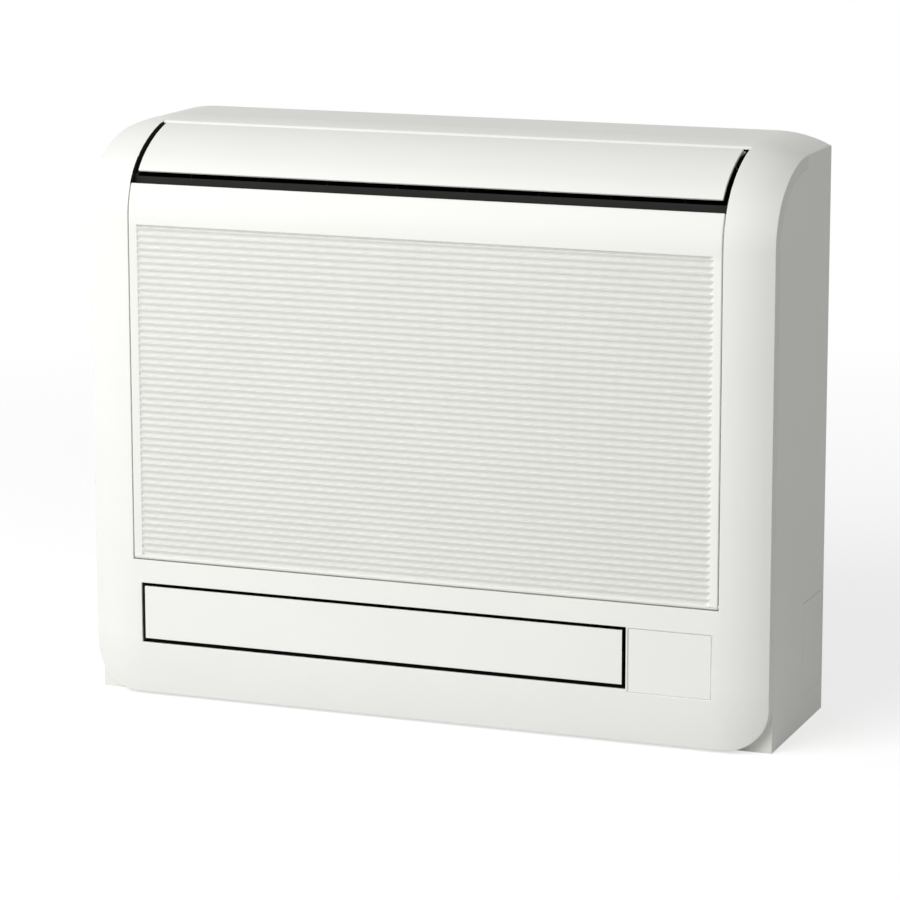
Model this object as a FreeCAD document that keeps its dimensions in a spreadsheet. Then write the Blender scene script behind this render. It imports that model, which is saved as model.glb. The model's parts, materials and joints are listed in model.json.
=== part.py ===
"""Floor-standing console air conditioner, millimetres.

X runs to the right, Y to the back and Z up. The origin is on the floor, under the middle of the unit.
"""
import FreeCAD
import Part
import Sketcher
import math
import os
from FreeCAD import Vector

SIZES = {
    # whole unit
    "unit_width": 736, "unit_height": 600, "unit_depth": 210,
    # one overrun serves all cuts, one gap keeps moving pieces clear, one fit serves pins in their bores
    "overrun": 5, "running_gap": 0.3, "pin_fit": 0.05,
    # skin of the cover seen from the side: chin, front, shoulder arc, brow arc, flat top
    "chin_radius": 280, "chin_start": 70, "shoulder_radius": 80, "brow_radius": 150, "top_seam_depth": 122,
    # crown of the skin towards the sides
    "crown_run": 56, "crown_radius": 125,
    # front cover
    "cover_wall": 3, "cover_depth": 26, "cover_foot": 3, "foot_corner_radius": 45,
    "window_side": 49.4, "window_bottom": 147.2, "lip_depth": 91,
    "jamb_wall": 3, "jamb_depth": 8, "jamb_inset": 1,
    # rear casing and its openings
    "casing_wall": 2.5, "seam_rib": 14, "corner_plate": 52, "wall_screw_radius": 3, "wall_screw_side": 88,
    "wall_screw_low": 40, "wall_screw_drop": 55,
    "pipe_port_side": 6, "pipe_port_width": 46, "pipe_port_low": 30, "pipe_port_high": 130,
    "side_port_low": 30, "side_port_high": 128, "side_port_inset": 9, "side_port_length": 68,
    "side_port_gap": 0.2, "side_flange": 4, "side_flange_wall": 1.5,
    # intake grille
    "grille_gap": 1, "grille_drop": 58, "header_drop": 100.5, "header_wall": 5, "rim_wall": 12,
    "field_border": 9.6, "field_bottom": 154, "slat_pitch": 7.05, "slat_nose": 3.4, "slat_wall": 3, "slat_rise": 6.4,
    "slat_depth": 5, "slat_setback": 0.6, "slat_bite": 1, "rib_pitch": 100, "rib_wall": 1.6,
    "rib_setback": 4, "hinge_inset": 3.5, "hinge_pin_radius": 2, "hinge_pin_grip": 6, "hinge_pin_reach": 3.6,
    # upper flap
    "flap_side_gap": 5.6, "flap_wall": 3, "flap_drop": 46, "flap_rear_depth": 85, "tongue_depth": 9,
    "tongue_drop": 8.5, "tongue_wall": 2.5, "flap_pivot_depth": 81, "flap_pivot_drop": 22,
    "flap_arm_wall": 3, "flap_arm_inset": 1, "flap_arm_reach": 24, "flap_boss_radius": 6,
    "flap_pin_radius": 2.5, "flap_pin_reach": 8.6, "flap_pin_grip": 3,
    "bush_radius": 5,
    # small geared motors of the two flaps
    "step_motor_radius": 10, "step_motor_length": 22, "step_motor_drop": 4, "step_bore_gap": 0.3,
    "step_bore_depth": 6,
    # upper outlet duct
    "duct_wall": 2.5, "duct_drop": 95, "duct_front_depth": 19, "duct_lip_drop": 52.5, "duct_end_gap": 0.4,
    "duct_end_wall": 3, "duct_back_inset": 7, "roof_front_depth": 101.5, "roof_front_drop": 12,
    "end_notch_drop": 15.5, "end_slope_depth": 55, "end_slope_drop": 22.5,
    "end_knee_depth": 31, "end_knee_drop": 44,
    # guide vanes and their link bars
    "vane_margin": 49.2, "vane_wall": 1.5, "vane_pivot_depth": 75, "vane_ahead": 32, "vane_behind": 8,
    "vane_lift": 0.8, "vane_height": 39, "vane_pin_radius": 2, "link_arm": 20, "link_pin_radius": 1.2,
    "link_pin_height": 2, "link_wall": 2, "link_slot_side": 0.6, "link_slot_ahead": 0.8,
    "link_slot_behind": 4.4, "link_edge": 3, "link_end": 8,
    # lower flap
    "door_side": 61.8, "door_receiver_gap": 6, "door_bottom": 63.5, "door_top": 119.3,
    "door_gap": 3.6, "door_sill_gap": 4.5, "door_wall": 3, "door_pivot_depth": 13, "door_boss_radius": 5,
    "door_cheek_wall": 4, "door_pin_radius": 2, "door_pin_grip": 3, "door_rib_depth": 5, "door_rib_wall": 2,
    "door_motor_radius": 11, "door_motor_length": 24, "door_bush_radius": 4.5,
    # lower outlet duct and fan housing share one width
    "channel_end_gap": 4.8, "channel_wall": 2.5, "channel_front_depth": 4,
    "channel_low": 55, "channel_high": 127, "leg_front_depth": 27, "fixed_rib_count": 6, "fixed_rib_wall": 1.6,
    "fixed_rib_front": 45,
    # fan
    "plate_front_depth": 113, "plate_wall": 3, "fan_rise": 2, "mouth_eye_gap": 3, "mouth_wall": 2.5,
    "mouth_length": 14, "fan_plate_margin": 39, "fan_ring_width": 22, "fan_front_depth": 126, "fan_back_inset": 18,
    "fan_disc_wall": 2.5, "dome_radius": 60, "dome_depth": 30, "blade_count": 7, "blade_inner_radius": 84,
    "blade_wall": 3, "blade_sweep_deg": 34, "blade_bow": 9, "blade_bite": 1, "shaft_radius": 4,
    "shaft_nose": 16, "nut_radius": 8, "nut_wall": 6, "fan_boss_radius": 11, "fan_boss_length": 8,
    "motor_radius": 48, "motor_length": 32, "mount_radius": 7, "mount_circle": 34, "mount_wall": 4,
    "bracket_wall": 3, "bracket_half": 62, "shaft_tail": 26, "plate_screw_radius": 1.7,
    "plate_screw_head": 3.6, "plate_screw_head_wall": 2.4, "plate_screw_inset": 12,
    # heat exchanger, pan and pipes
    "fin_left_inset": 11, "fin_right_inset": 15.8, "fin_front_depth": 60, "fin_wall": 30, "fin_low": 140, "fin_top_gap": 17,
    "end_plate_wall": 1.5, "end_plate_margin": 3, "tube_radius": 4, "tube_pitch": 25, "tube_first": 156,
    "tube_stub": 12,
    "pan_side": 41, "pan_front_depth": 44, "pan_wall": 2.5, "pan_height": 22, "pan_rib_wall": 4,
    "pan_rib_count": 4,
    "spout_inset": 6.2, "spout_radius": 5.5, "spout_bore": 4, "spout_length": 24, "spout_depth": 54,
    "gas_radius": 4.8, "gas_side": 21, "gas_height": 60, "liquid_radius": 3.2, "liquid_side": 32,
    "liquid_height": 106, "pipe_bend": 14, "union_inset": 15, "union_length": 30,
    "gas_union_radius": 7, "liquid_union_radius": 5.5, "nut_flats_share": 1.5, "nut_length": 14, "nut_offset": 2,
    # filters
    "filter_left_lap": 5, "filter_right_lap": 12.2, "filter_front_depth": 39, "filter_frame_wall": 4,
    "filter_frame_rim": 14, "filter_mullion": 12, "filter_wall": 5, "filter_rim": 8, "filter_split_gap": 2,
    "filter_low": 150, "filter_top_gap": 7, "filter_bar": 4, "filter_bar_count": 3, "mesh_wall": 0.8,
    # electrical box
    "box_gap": 16.2, "box_side": 12, "box_front_depth": 55, "box_back_depth": 155, "box_top_gap": 35,
    "box_wall": 1.2, "board_wall": 1.6, "board_margin": 10, "board_low": 80, "standoff_radius": 3,
    "standoff_length": 10, "standoff_inset": 8, "part_tall": 26, "part_radius": 9, "part_block": 34,
    "part_block_tall": 18, "part_top_margin": 74, "terminal_width": 76, "terminal_depth": 26, "terminal_tall": 30,
    "terminal_inset": 40, "clamp_width": 44, "clamp_depth": 14, "clamp_tall": 12, "clamp_inset": 10,
    "clamp_notch_radius": 5,
    "button_radius": 6, "button_proud": 6, "button_tail": 5, "button_height": 186, "button_inset": 46,
    "lid_screw_radius": 1.5, "lid_screw_head": 3.2, "lid_screw_head_wall": 2, "lid_screw_inset": 8,
    # receiver beside the door
    "receiver_side": 56.8, "receiver_width": 86.2, "receiver_bottom": 56.3, "receiver_height": 65.8,
    "receiver_recess": 0.8, "receiver_wall": 2.9, "receiver_gap": 0.25, "receiver_flange": 4,
    "receiver_flange_wall": 2, "receiver_post": 3, "receiver_post_radius": 2.5, "receiver_post_inset": 10,
    "receiver_board_inset": 4,
}

doc = FreeCAD.newDocument("console_air_conditioner")
sheet = doc.addObject("Spreadsheet::Sheet", "dims")
for row, (alias, number) in enumerate(SIZES.items(), start=1):
    sheet.set("A%d" % row, str(number))
    sheet.setAlias("A%d" % row, alias)
doc.recompute()


class Size:
    """A length with its value and the sheet expression that it comes from."""

    def __init__(self, value, text):
        self.value = value
        self.text = text

    def __add__(self, other):
        other = as_size(other)
        return Size(self.value + other.value, "(%s + %s)" % (self.text, other.text))

    def __sub__(self, other):
        other = as_size(other)
        return Size(self.value - other.value, "(%s - %s)" % (self.text, other.text))

    def __mul__(self, factor):
        factor = as_size(factor)
        return Size(self.value * factor.value, "(%s * %s)" % (self.text, factor.text))

    def __truediv__(self, factor):
        factor = as_size(factor)
        return Size(self.value / factor.value, "(%s / %s)" % (self.text, factor.text))

    def __neg__(self):
        return Size(-self.value, "(0 - %s)" % self.text)


def as_size(number):
    """Sizes pass through, and plain factors become sizes."""
    return number if isinstance(number, Size) else Size(float(number), str(number))


def root(size):
    return Size(math.sqrt(size.value), "sqrt(%s)" % size.text)


class Sheet:
    """Each alias of the sheet as a Size."""


dim = Sheet()
for alias in SIZES:
    setattr(dim, alias, Size(float(sheet.get(alias)), "dims." + alias))

half = dim.unit_width / 2
front = -dim.unit_depth / 2
back = dim.unit_depth / 2
zero = as_size(0)
nodes = []

# Places that follow the unit's sides.
crown_start = half - dim.crown_run
window_half = half - dim.window_side
field_half = window_half - dim.grille_gap - dim.field_border
flap_half = window_half - dim.flap_side_gap
duct_end_outer = window_half - dim.duct_end_gap
wall_screw_half_span = half - dim.wall_screw_side
pipe_port_left = half - dim.pipe_port_side
pipe_port_right = pipe_port_left - dim.pipe_port_width
receiver_left = half - dim.receiver_side - dim.receiver_width
door_left = dim.door_side - half
door_right = receiver_left - dim.door_receiver_gap
channel = (door_left - dim.channel_end_gap, door_right + dim.channel_end_gap)
fin_x = (channel[0] + dim.fin_left_inset, channel[1] - dim.fin_right_inset)
pan_left = half - dim.pan_side
gas_left = half - dim.gas_side
liquid_left = half - dim.liquid_side
filter_x = (channel[0] - dim.filter_left_lap, channel[1] + dim.filter_right_lap)
box_x = (channel[1] + dim.box_gap, half - dim.box_side)

# Heights that follow the unit's top.
wall_screw_high = dim.unit_height - dim.wall_screw_drop
grille_top = dim.unit_height - dim.grille_drop
header_bottom = dim.unit_height - dim.header_drop
flap_low = dim.unit_height - dim.flap_drop
duct_floor = dim.unit_height - dim.duct_drop
duct_lip = dim.unit_height - dim.duct_lip_drop
fin_high = duct_floor - dim.fin_top_gap
filter_high = duct_floor - dim.filter_top_gap
box_high = duct_floor - dim.box_top_gap

# Depths that follow the unit's back.
side_port_back = back - dim.side_port_inset
side_port_front = side_port_back - dim.side_port_length
union_y = back - dim.union_inset - dim.union_length

# The fan fills the plate between the two outlets.
fan_radius = (duct_floor - dim.channel_high) / 2 - dim.fan_plate_margin
fan_eye_radius = fan_radius - dim.fan_ring_width
mouth_radius = fan_eye_radius - dim.mouth_eye_gap


def bind(obj, **expressions):
    for name, size in expressions.items():
        obj.setExpression(name, as_size(size).text)


def set_base(obj, x, y, z):
    for name, size in zip("xyz", (x, y, z)):
        obj.setExpression("Placement.Base." + name, as_size(size).text)


def node(obj, label):
    obj.Label = label
    nodes.append(obj)
    return obj


def block(name, x, y, z):
    """Box between two corners, each span a pair of sizes."""
    box = doc.addObject("Part::Box", name)
    bind(box, Length=x[1] - x[0], Width=y[1] - y[0], Height=z[1] - z[0])
    set_base(box, x[0], y[0], z[0])
    return box


TURNS = {
    "X": FreeCAD.Rotation(Vector(0, 1, 0), 90),
    "Y": FreeCAD.Rotation(Vector(1, 0, 0), -90),
    "Z": FreeCAD.Rotation(),
}


def rod(name, along, start, radius, length):
    """Cylinder along an axis from its start point."""
    cylinder = doc.addObject("Part::Cylinder", name)
    cylinder.Placement = FreeCAD.Placement(Vector(), TURNS[along])
    bind(cylinder, Radius=radius, Height=length)
    set_base(cylinder, *start)
    return cylinder


PLANES = {"X": "YZ_Plane", "Y": "XZ_Plane", "Z": "XY_Plane"}


def pad(name, along, outline, span):
    """Body padded along an axis from a polygon sketch, each corner bound to its sizes."""
    body = doc.addObject("PartDesign::Body", name)
    sketch = body.newObject("Sketcher::SketchObject", name + "_outline")
    plane = [feature for feature in body.Origin.OriginFeatures if feature.Role == PLANES[along]][0]
    sketch.AttachmentSupport = (plane, [""])
    sketch.MapMode = "FlatFace"
    count = len(outline)
    corners = [Vector(as_size(u).value, as_size(v).value, 0) for u, v in outline]
    for index in range(count):
        sketch.addGeometry(Part.LineSegment(corners[index], corners[(index + 1) % count]), False)
    for index in range(count):
        sketch.addConstraint(Sketcher.Constraint("Coincident", index, 2, (index + 1) % count, 1))
    for index, corner in enumerate(outline):
        for kind, size in zip(("DistanceX", "DistanceY"), corner):
            size = as_size(size)
            place = sketch.addConstraint(Sketcher.Constraint(kind, -1, 1, index, 1, size.value))
            sketch.setExpression("Constraints[%d]" % place, size.text)
    feature = body.newObject("PartDesign::Pad", name + "_pad")
    feature.Profile = sketch
    feature.Reversed = along == "Y"
    bind(feature, Length=span[1] - span[0])
    body.setExpression("Placement.Base." + along.lower(), as_size(span[0]).text)
    return body


def fuse(name, *pieces):
    joined = doc.addObject("Part::MultiFuse", name)
    joined.Shapes = list(pieces)
    return joined


def group(name, *pieces):
    gathered = doc.addObject("Part::Compound", name)
    gathered.Links = list(pieces)
    return gathered


def cut(name, base, *tools):
    result = doc.addObject("Part::Cut", name)
    result.Base = base
    result.Tool = tools[0] if len(tools) == 1 else group(name + "_tools", *tools)
    return result


def form(name, shape):
    """Free form made from sheet sizes where no primitive or pad fits."""
    feature = doc.addObject("Part::Feature", name)
    feature.Shape = shape
    return feature


def point(x, y, z):
    return Vector(as_size(x).value, as_size(y).value, as_size(z).value)


# Side profile of the skin, shared by the cover, the casing, the grille and the upper flap.
shoulder_y = front + dim.shoulder_radius
brow_y = front + dim.top_seam_depth
brow_z = dim.unit_height - dim.brow_radius
arc_step = dim.brow_radius - dim.shoulder_radius
shoulder_z = brow_z + root(arc_step * arc_step - (brow_y - shoulder_y) * (brow_y - shoulder_y))


def brow_height(y, inset):
    """Height of the brow arc at a depth, at an inset from the skin."""
    radius = dim.brow_radius - inset
    return brow_z + root(radius * radius - (brow_y - y) * (brow_y - y))


def on_arc(centre_y, centre_z, radius, angle):
    """Point of a side-view arc, its angle measured up from the front."""
    return Vector(0, centre_y.value - radius * math.cos(angle), centre_z.value + radius * math.sin(angle))


join_angle = math.atan2(shoulder_z.value - brow_z.value, brow_y.value - shoulder_y.value)


def shoulder_arc(inset, low, high):
    radius = dim.shoulder_radius.value - inset
    angles = (low, (low + high) / 2, high)
    return Part.Arc(*[on_arc(shoulder_y, shoulder_z, radius, angle) for angle in angles]).toShape()


def brow_arc(inset, low, high):
    radius = dim.brow_radius.value - inset
    angles = (low, (low + high) / 2, high)
    return Part.Arc(*[on_arc(brow_y, brow_z, radius, angle) for angle in angles]).toShape()


def skin_path(rear):
    """Side profile from the rear of the top, over the brow, down the front and round the chin."""
    chin_y = front + dim.chin_radius
    low = dim.cover_foot - dim.overrun
    angles = [math.asin((low.value - dim.chin_start.value) / dim.chin_radius.value) * share for share in (0, 0.5, 1)]
    chin = Part.Arc(*[on_arc(chin_y, dim.chin_start, dim.chin_radius.value, angle) for angle in angles]).toShape()
    edges = [
        brow_arc(0, math.pi / 2, join_angle),
        shoulder_arc(0, join_angle, 0),
        Part.makeLine(point(0, front, shoulder_z), point(0, front, dim.chin_start)),
        chin,
    ]
    if rear.value > brow_y.value:
        edges.insert(0, Part.makeLine(point(0, rear, dim.unit_height), point(0, brow_y, dim.unit_height)))
    return Part.Wire(edges)


def crown_section(y, inset, depth):
    """Section across the skin at the rear of its path, with the crown at both sides."""
    side = half - inset
    reach = side - crown_start
    radius = dim.crown_radius - inset
    centre = dim.unit_height - dim.crown_radius
    edge = centre + root(radius * radius - reach * reach)
    middle = centre + root(radius * radius - reach * reach / 4)
    flat = dim.unit_height - inset
    low = dim.unit_height - depth
    right = Part.Arc(
        point(crown_start, y, flat), point(crown_start + reach / 2, y, middle), point(side, y, edge)
    ).toShape()
    left = Part.Arc(
        point(-side, y, edge), point(-(crown_start + reach / 2), y, middle), point(-crown_start, y, flat)
    ).toShape()
    return Part.Wire([
        left,
        Part.makeLine(point(-crown_start, y, flat), point(crown_start, y, flat)),
        right,
        Part.makeLine(point(side, y, edge), point(side, y, low)),
        Part.makeLine(point(side, y, low), point(-side, y, low)),
        Part.makeLine(point(-side, y, low), point(-side, y, edge)),
    ])


def sweep(path, section):
    return path.makePipeShell([section], True, False)


def front_outline(inset):
    """Front view of the cover with its round lower corners, as a prism along the depth."""
    side = half - inset
    low = dim.cover_foot + inset
    radius = dim.foot_corner_radius - inset
    high = dim.unit_height + dim.overrun
    start = front - dim.overrun
    diagonal = radius - radius * math.sqrt(0.5)
    wire = Part.Wire([
        Part.makeLine(point(-side, start, high), point(side, start, high)),
        Part.makeLine(point(side, start, high), point(side, start, low + radius)),
        Part.Arc(
            point(side, start, low + radius),
            point(side - diagonal, start, low + diagonal),
            point(side - radius, start, low),
        ).toShape(),
        Part.makeLine(point(side - radius, start, low), point(-side + radius, start, low)),
        Part.Arc(
            point(-side + radius, start, low),
            point(-side + diagonal, start, low + diagonal),
            point(-side, start, low + radius),
        ).toShape(),
        Part.makeLine(point(-side, start, low + radius), point(-side, start, high)),
    ])
    return Part.Face(wire).extrude(point(0, back - start, 0))


hinge_y = front + dim.hinge_inset
hinge_z = dim.window_bottom + dim.grille_gap + dim.hinge_inset
lip_y = front + dim.lip_depth


def make_front_cover():
    outer = sweep(skin_path(brow_y), crown_section(brow_y, zero, dim.cover_depth)).common(front_outline(zero))
    rear = brow_y + dim.overrun
    section = crown_section(rear, dim.cover_wall, dim.cover_depth + dim.overrun)
    inner = sweep(skin_path(rear), section).common(front_outline(dim.cover_wall))
    shell = form("cover_shell", outer.cut(inner))
    through = (front - dim.overrun, front + dim.cover_depth)
    window_top = dim.unit_height + dim.overrun
    receiver_right = receiver_left + dim.receiver_width
    receiver_top = dim.receiver_bottom + dim.receiver_height
    frame = cut(
        "cover_frame", shell,
        block("grille_window", (-window_half, window_half), (front - dim.overrun, lip_y),
              (dim.window_bottom, window_top)),
        block("door_window", (door_left - dim.door_gap, door_right + dim.door_gap), through,
              (dim.door_bottom - dim.door_sill_gap, dim.door_top + dim.door_gap)),
        block("receiver_window", (receiver_left, receiver_right), through,
              (dim.receiver_bottom, receiver_top)),
        block("chin_trim", (-half - dim.overrun, half + dim.overrun),
              (front + dim.cover_depth, front + dim.cover_depth * 2), (-dim.overrun, dim.chin_start)),
    )
    jambs = [form("jamb_%d" % index, jamb(side)) for index, side in enumerate((-1, 1))]
    sill = block("grille_sill", (-window_half - dim.jamb_wall, window_half + dim.jamb_wall),
                 (front + dim.jamb_inset, front + dim.jamb_depth),
                 (dim.window_bottom - dim.jamb_wall, dim.window_bottom))
    sockets = [
        rod("grille_socket_%d" % index, "X", (start, hinge_y, hinge_z),
            dim.hinge_pin_radius + dim.pin_fit, dim.jamb_wall + dim.overrun)
        for index, start in enumerate((-window_half - dim.jamb_wall, window_half - dim.overrun))
    ]
    node(cut("front_cover", fuse("cover_with_jambs", frame, sill, *jambs), *sockets), "front_cover")


def jamb(side):
    """Return flange along one edge of the grille window, following the skin."""
    near = window_half * side
    far = (window_half + dim.jamb_wall) * side
    high = dim.unit_height - dim.jamb_inset
    low = dim.unit_height - dim.jamb_depth
    corners = [point(near, brow_y, high), point(far, brow_y, high), point(far, brow_y, low), point(near, brow_y, low)]
    flange = sweep(skin_path(brow_y), Part.makePolygon(corners + corners[:1]))
    foot = dim.window_bottom - dim.jamb_wall
    keep = Part.makeBox(
        dim.unit_width.value, (dim.lip_depth + dim.overrun).value, dim.unit_height.value,
        point(-half, front - dim.overrun, foot),
    )
    return flange.common(keep)


def casing_prism(inset):
    """Front view of the casing with the crowned top, as a prism along the depth."""
    side = half - inset
    reach = side - crown_start
    radius = dim.crown_radius - inset
    centre = dim.unit_height - dim.crown_radius
    edge = centre + root(radius * radius - reach * reach)
    middle = centre + root(radius * radius - reach * reach / 4)
    flat = dim.unit_height - inset
    start = front - dim.overrun
    low = -dim.overrun
    wire = Part.Wire([
        Part.makeLine(point(-side, start, low), point(side, start, low)),
        Part.makeLine(point(side, start, low), point(side, start, edge)),
        Part.Arc(point(side, start, edge), point(crown_start + reach / 2, start, middle),
                 point(crown_start, start, flat)).toShape(),
        Part.makeLine(point(crown_start, start, flat), point(-crown_start, start, flat)),
        Part.Arc(point(-crown_start, start, flat), point(-crown_start - reach / 2, start, middle),
                 point(-side, start, edge)).toShape(),
        Part.makeLine(point(-side, start, edge), point(-side, start, low)),
    ])
    return Part.Face(wire).extrude(point(0, dim.unit_depth + dim.overrun + dim.overrun, 0))


def make_rear_casing():
    depth = dim.cover_depth.value
    seam_y = front + dim.cover_depth
    step_z = dim.unit_height - dim.cover_depth
    outline = Part.Wire([
        Part.makeLine(point(0, seam_y, 0), point(0, seam_y, shoulder_z)),
        shoulder_arc(depth, 0, join_angle),
        brow_arc(depth, join_angle, math.pi / 2),
        Part.makeLine(point(0, brow_y, step_z), point(0, brow_y, dim.unit_height)),
        Part.makeLine(point(0, brow_y, dim.unit_height), point(0, back, dim.unit_height)),
        Part.makeLine(point(0, back, dim.unit_height), point(0, back, 0)),
        Part.makeLine(point(0, back, 0), point(0, seam_y, 0)),
    ])
    solid = Part.Face(outline).extrude(point(dim.unit_width, 0, 0))
    solid.translate(point(-half, 0, 0))
    solid = solid.common(casing_prism(zero))
    wall = dim.casing_wall
    ceiling = dim.unit_height + dim.overrun
    open_y = back + dim.overrun
    rib_z = dim.unit_height - dim.seam_rib
    corners = [
        (seam_y - dim.overrun, wall), (open_y, wall), (open_y, ceiling), (brow_y + wall, ceiling),
        (brow_y + wall, rib_z), (brow_y - wall, rib_z), (brow_y - wall, ceiling),
        (seam_y - dim.overrun, ceiling),
    ]
    points = [point(-half, y, z) for y, z in corners]
    hollow = Part.Face(Part.makePolygon(points + points[:1])).extrude(point(dim.unit_width, 0, 0))
    shell = form("casing_shell", solid.cut(hollow.common(casing_prism(wall))))
    holes = []
    for side in (-1, 1):
        start = (half - wall) * side - dim.overrun
        holes.append(block("side_pipe_port", (start, start + dim.overrun + dim.overrun),
                           (side_port_front, side_port_back), (dim.side_port_low, dim.side_port_high)))
    inner = half - dim.corner_plate
    plates = [block("corner_plate", span, (seam_y, seam_y + wall), (zero, dim.corner_plate))
              for span in ((-half, -inner), (inner, half))]
    node(cut("rear_casing", fuse("casing_with_plates", shell, *plates), *holes), "rear_casing")


def make_back_panel():
    """Plate that closes the casing's back, with the pipe opening and the wall screw holes."""
    wall = dim.casing_wall
    slab = Part.makeBox(
        dim.unit_width.value, wall.value, dim.unit_height.value, point(-half, back - wall, wall),
    )
    plate = form("back_plate", slab.common(casing_prism(wall)))
    through = (back - wall - dim.overrun, back + dim.overrun)
    holes = [block("rear_pipe_port", (-pipe_port_left, -pipe_port_right), through,
                   (dim.pipe_port_low, dim.pipe_port_high))]
    for side in (-1, 1):
        for height in (dim.wall_screw_low, wall_screw_high):
            holes.append(rod("wall_screw_hole", "Y", (wall_screw_half_span * side, through[0], height),
                             dim.wall_screw_radius, wall + dim.overrun + dim.overrun))
    node(cut("back_panel", plate, *holes), "back_panel")


def make_pipe_covers():
    """Snap-in plate over each side opening, with a flange behind the wall."""
    gap = dim.side_port_gap
    flange = dim.side_flange
    depth = (side_port_front, side_port_back)
    height = (dim.side_port_low, dim.side_port_high)
    inner = half - dim.casing_wall
    for label, side in (("pipe_cover_left", -1), ("pipe_cover_right", 1)):
        plate = sorted((half * side, (inner - dim.side_flange_wall) * side), key=lambda size: size.value)
        skirt = sorted((inner * side, (inner - dim.side_flange_wall) * side), key=lambda size: size.value)
        node(fuse(
            label,
            block(label + "_plate", plate, (depth[0] + gap, depth[1] - gap), (height[0] + gap, height[1] - gap)),
            block(label + "_flange", skirt, (depth[0] - flange, depth[1] + flange),
                  (height[0] - flange, height[1] + flange)),
        ), label)


def make_intake_grille():
    """Louvred panel, its lower edge rounded about the hinge so that it can tip forward."""
    side = window_half - dim.grille_gap
    bottom = dim.window_bottom + dim.grille_gap
    top_angle = math.asin((grille_top.value - shoulder_z.value) / dim.shoulder_radius.value)
    wall = dim.header_wall.value
    inner_y = front + dim.header_wall
    rim_y = front + dim.rim_wall
    bend = math.radians(45)
    turn = dim.hinge_inset.value
    edges = [
        Part.Arc(point(0, hinge_y, bottom), on_arc(hinge_y, hinge_z, turn, -bend),
                 point(0, front, hinge_z)).toShape(),
        Part.makeLine(point(0, front, hinge_z), point(0, front, shoulder_z)),
        shoulder_arc(0, 0, top_angle),
        Part.makeLine(on_arc(shoulder_y, shoulder_z, dim.shoulder_radius.value, top_angle),
                      on_arc(shoulder_y, shoulder_z, dim.shoulder_radius.value - wall, top_angle)),
        shoulder_arc(wall, top_angle, 0),
        Part.makeLine(point(0, inner_y, shoulder_z), point(0, inner_y, header_bottom)),
        Part.makeLine(point(0, inner_y, header_bottom), point(0, rim_y, header_bottom)),
        Part.makeLine(point(0, rim_y, header_bottom), point(0, rim_y, bottom)),
        Part.makeLine(point(0, rim_y, bottom), point(0, hinge_y, bottom)),
    ]
    panel = Part.Face(Part.Wire(edges)).extrude(point(side * 2, 0, 0))
    panel.translate(point(-side, 0, 0))
    field = block("louvre_field", (-field_half, field_half), (front - dim.overrun, rim_y + dim.overrun),
                  (dim.field_bottom, header_bottom))
    framed = cut("grille_frame", form("grille_panel", panel), field)
    ribs = [
        block("grille_rib", (dim.rib_pitch * place - dim.rib_wall / 2, dim.rib_pitch * place + dim.rib_wall / 2),
              (front + dim.rib_setback, rim_y), (dim.field_bottom - dim.slat_bite, header_bottom + dim.slat_bite))
        for place in (-2, -1, 0, 1, 2)
    ]
    whole = fuse("grille_fused", framed, form("grille_slats", slats()), *ribs)
    pin_holes = [
        rod("grille_pin_hole", "X", (start, hinge_y, hinge_z), dim.hinge_pin_radius,
            dim.hinge_pin_grip + dim.overrun)
        for start in (-side - dim.overrun, side - dim.hinge_pin_grip)
    ]
    node(cut("intake_grille", whole, *pin_holes), "intake_grille")
    pins = [
        rod("grille_pin", "X", (start, hinge_y, hinge_z), dim.hinge_pin_radius,
            dim.hinge_pin_grip + dim.hinge_pin_reach)
        for start in (-side - dim.hinge_pin_reach, side - dim.hinge_pin_grip)
    ]
    node(group("grille_hinge_pins", *pins), "grille_hinge_pins")


def slats():
    """Sloped louvre slats, front edge low, so that nothing behind them shows from above."""
    pitch = dim.slat_pitch
    count = int((header_bottom - dim.field_bottom).value / pitch.value)
    near = front + dim.slat_setback
    far = near + dim.slat_depth
    start = -field_half - dim.slat_bite
    length = (field_half + dim.slat_bite) * 2
    first = header_bottom - pitch * count
    corners = [
        point(start, near, first), point(start, near, first + dim.slat_nose),
        point(start, far, first + dim.slat_wall + dim.slat_rise), point(start, far, first + dim.slat_rise),
    ]
    slat = Part.Face(Part.makePolygon(corners + corners[:1])).extrude(point(length, 0, 0))
    header = Part.makeBox(
        dim.unit_width.value, dim.unit_depth.value, dim.unit_height.value,
        point(-half, front, header_bottom),
    )
    copies = []
    for index in range(count):
        copy = slat.copy()
        copy.translate(point(0, 0, pitch * index))
        copies.append(copy)
    copies[-1] = copies[-1].cut(header)
    return Part.makeCompound(copies)


flap_y = front + dim.flap_pivot_depth
flap_z = dim.unit_height - dim.flap_pivot_drop
duct_end_inner = duct_end_outer - dim.duct_end_wall


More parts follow.
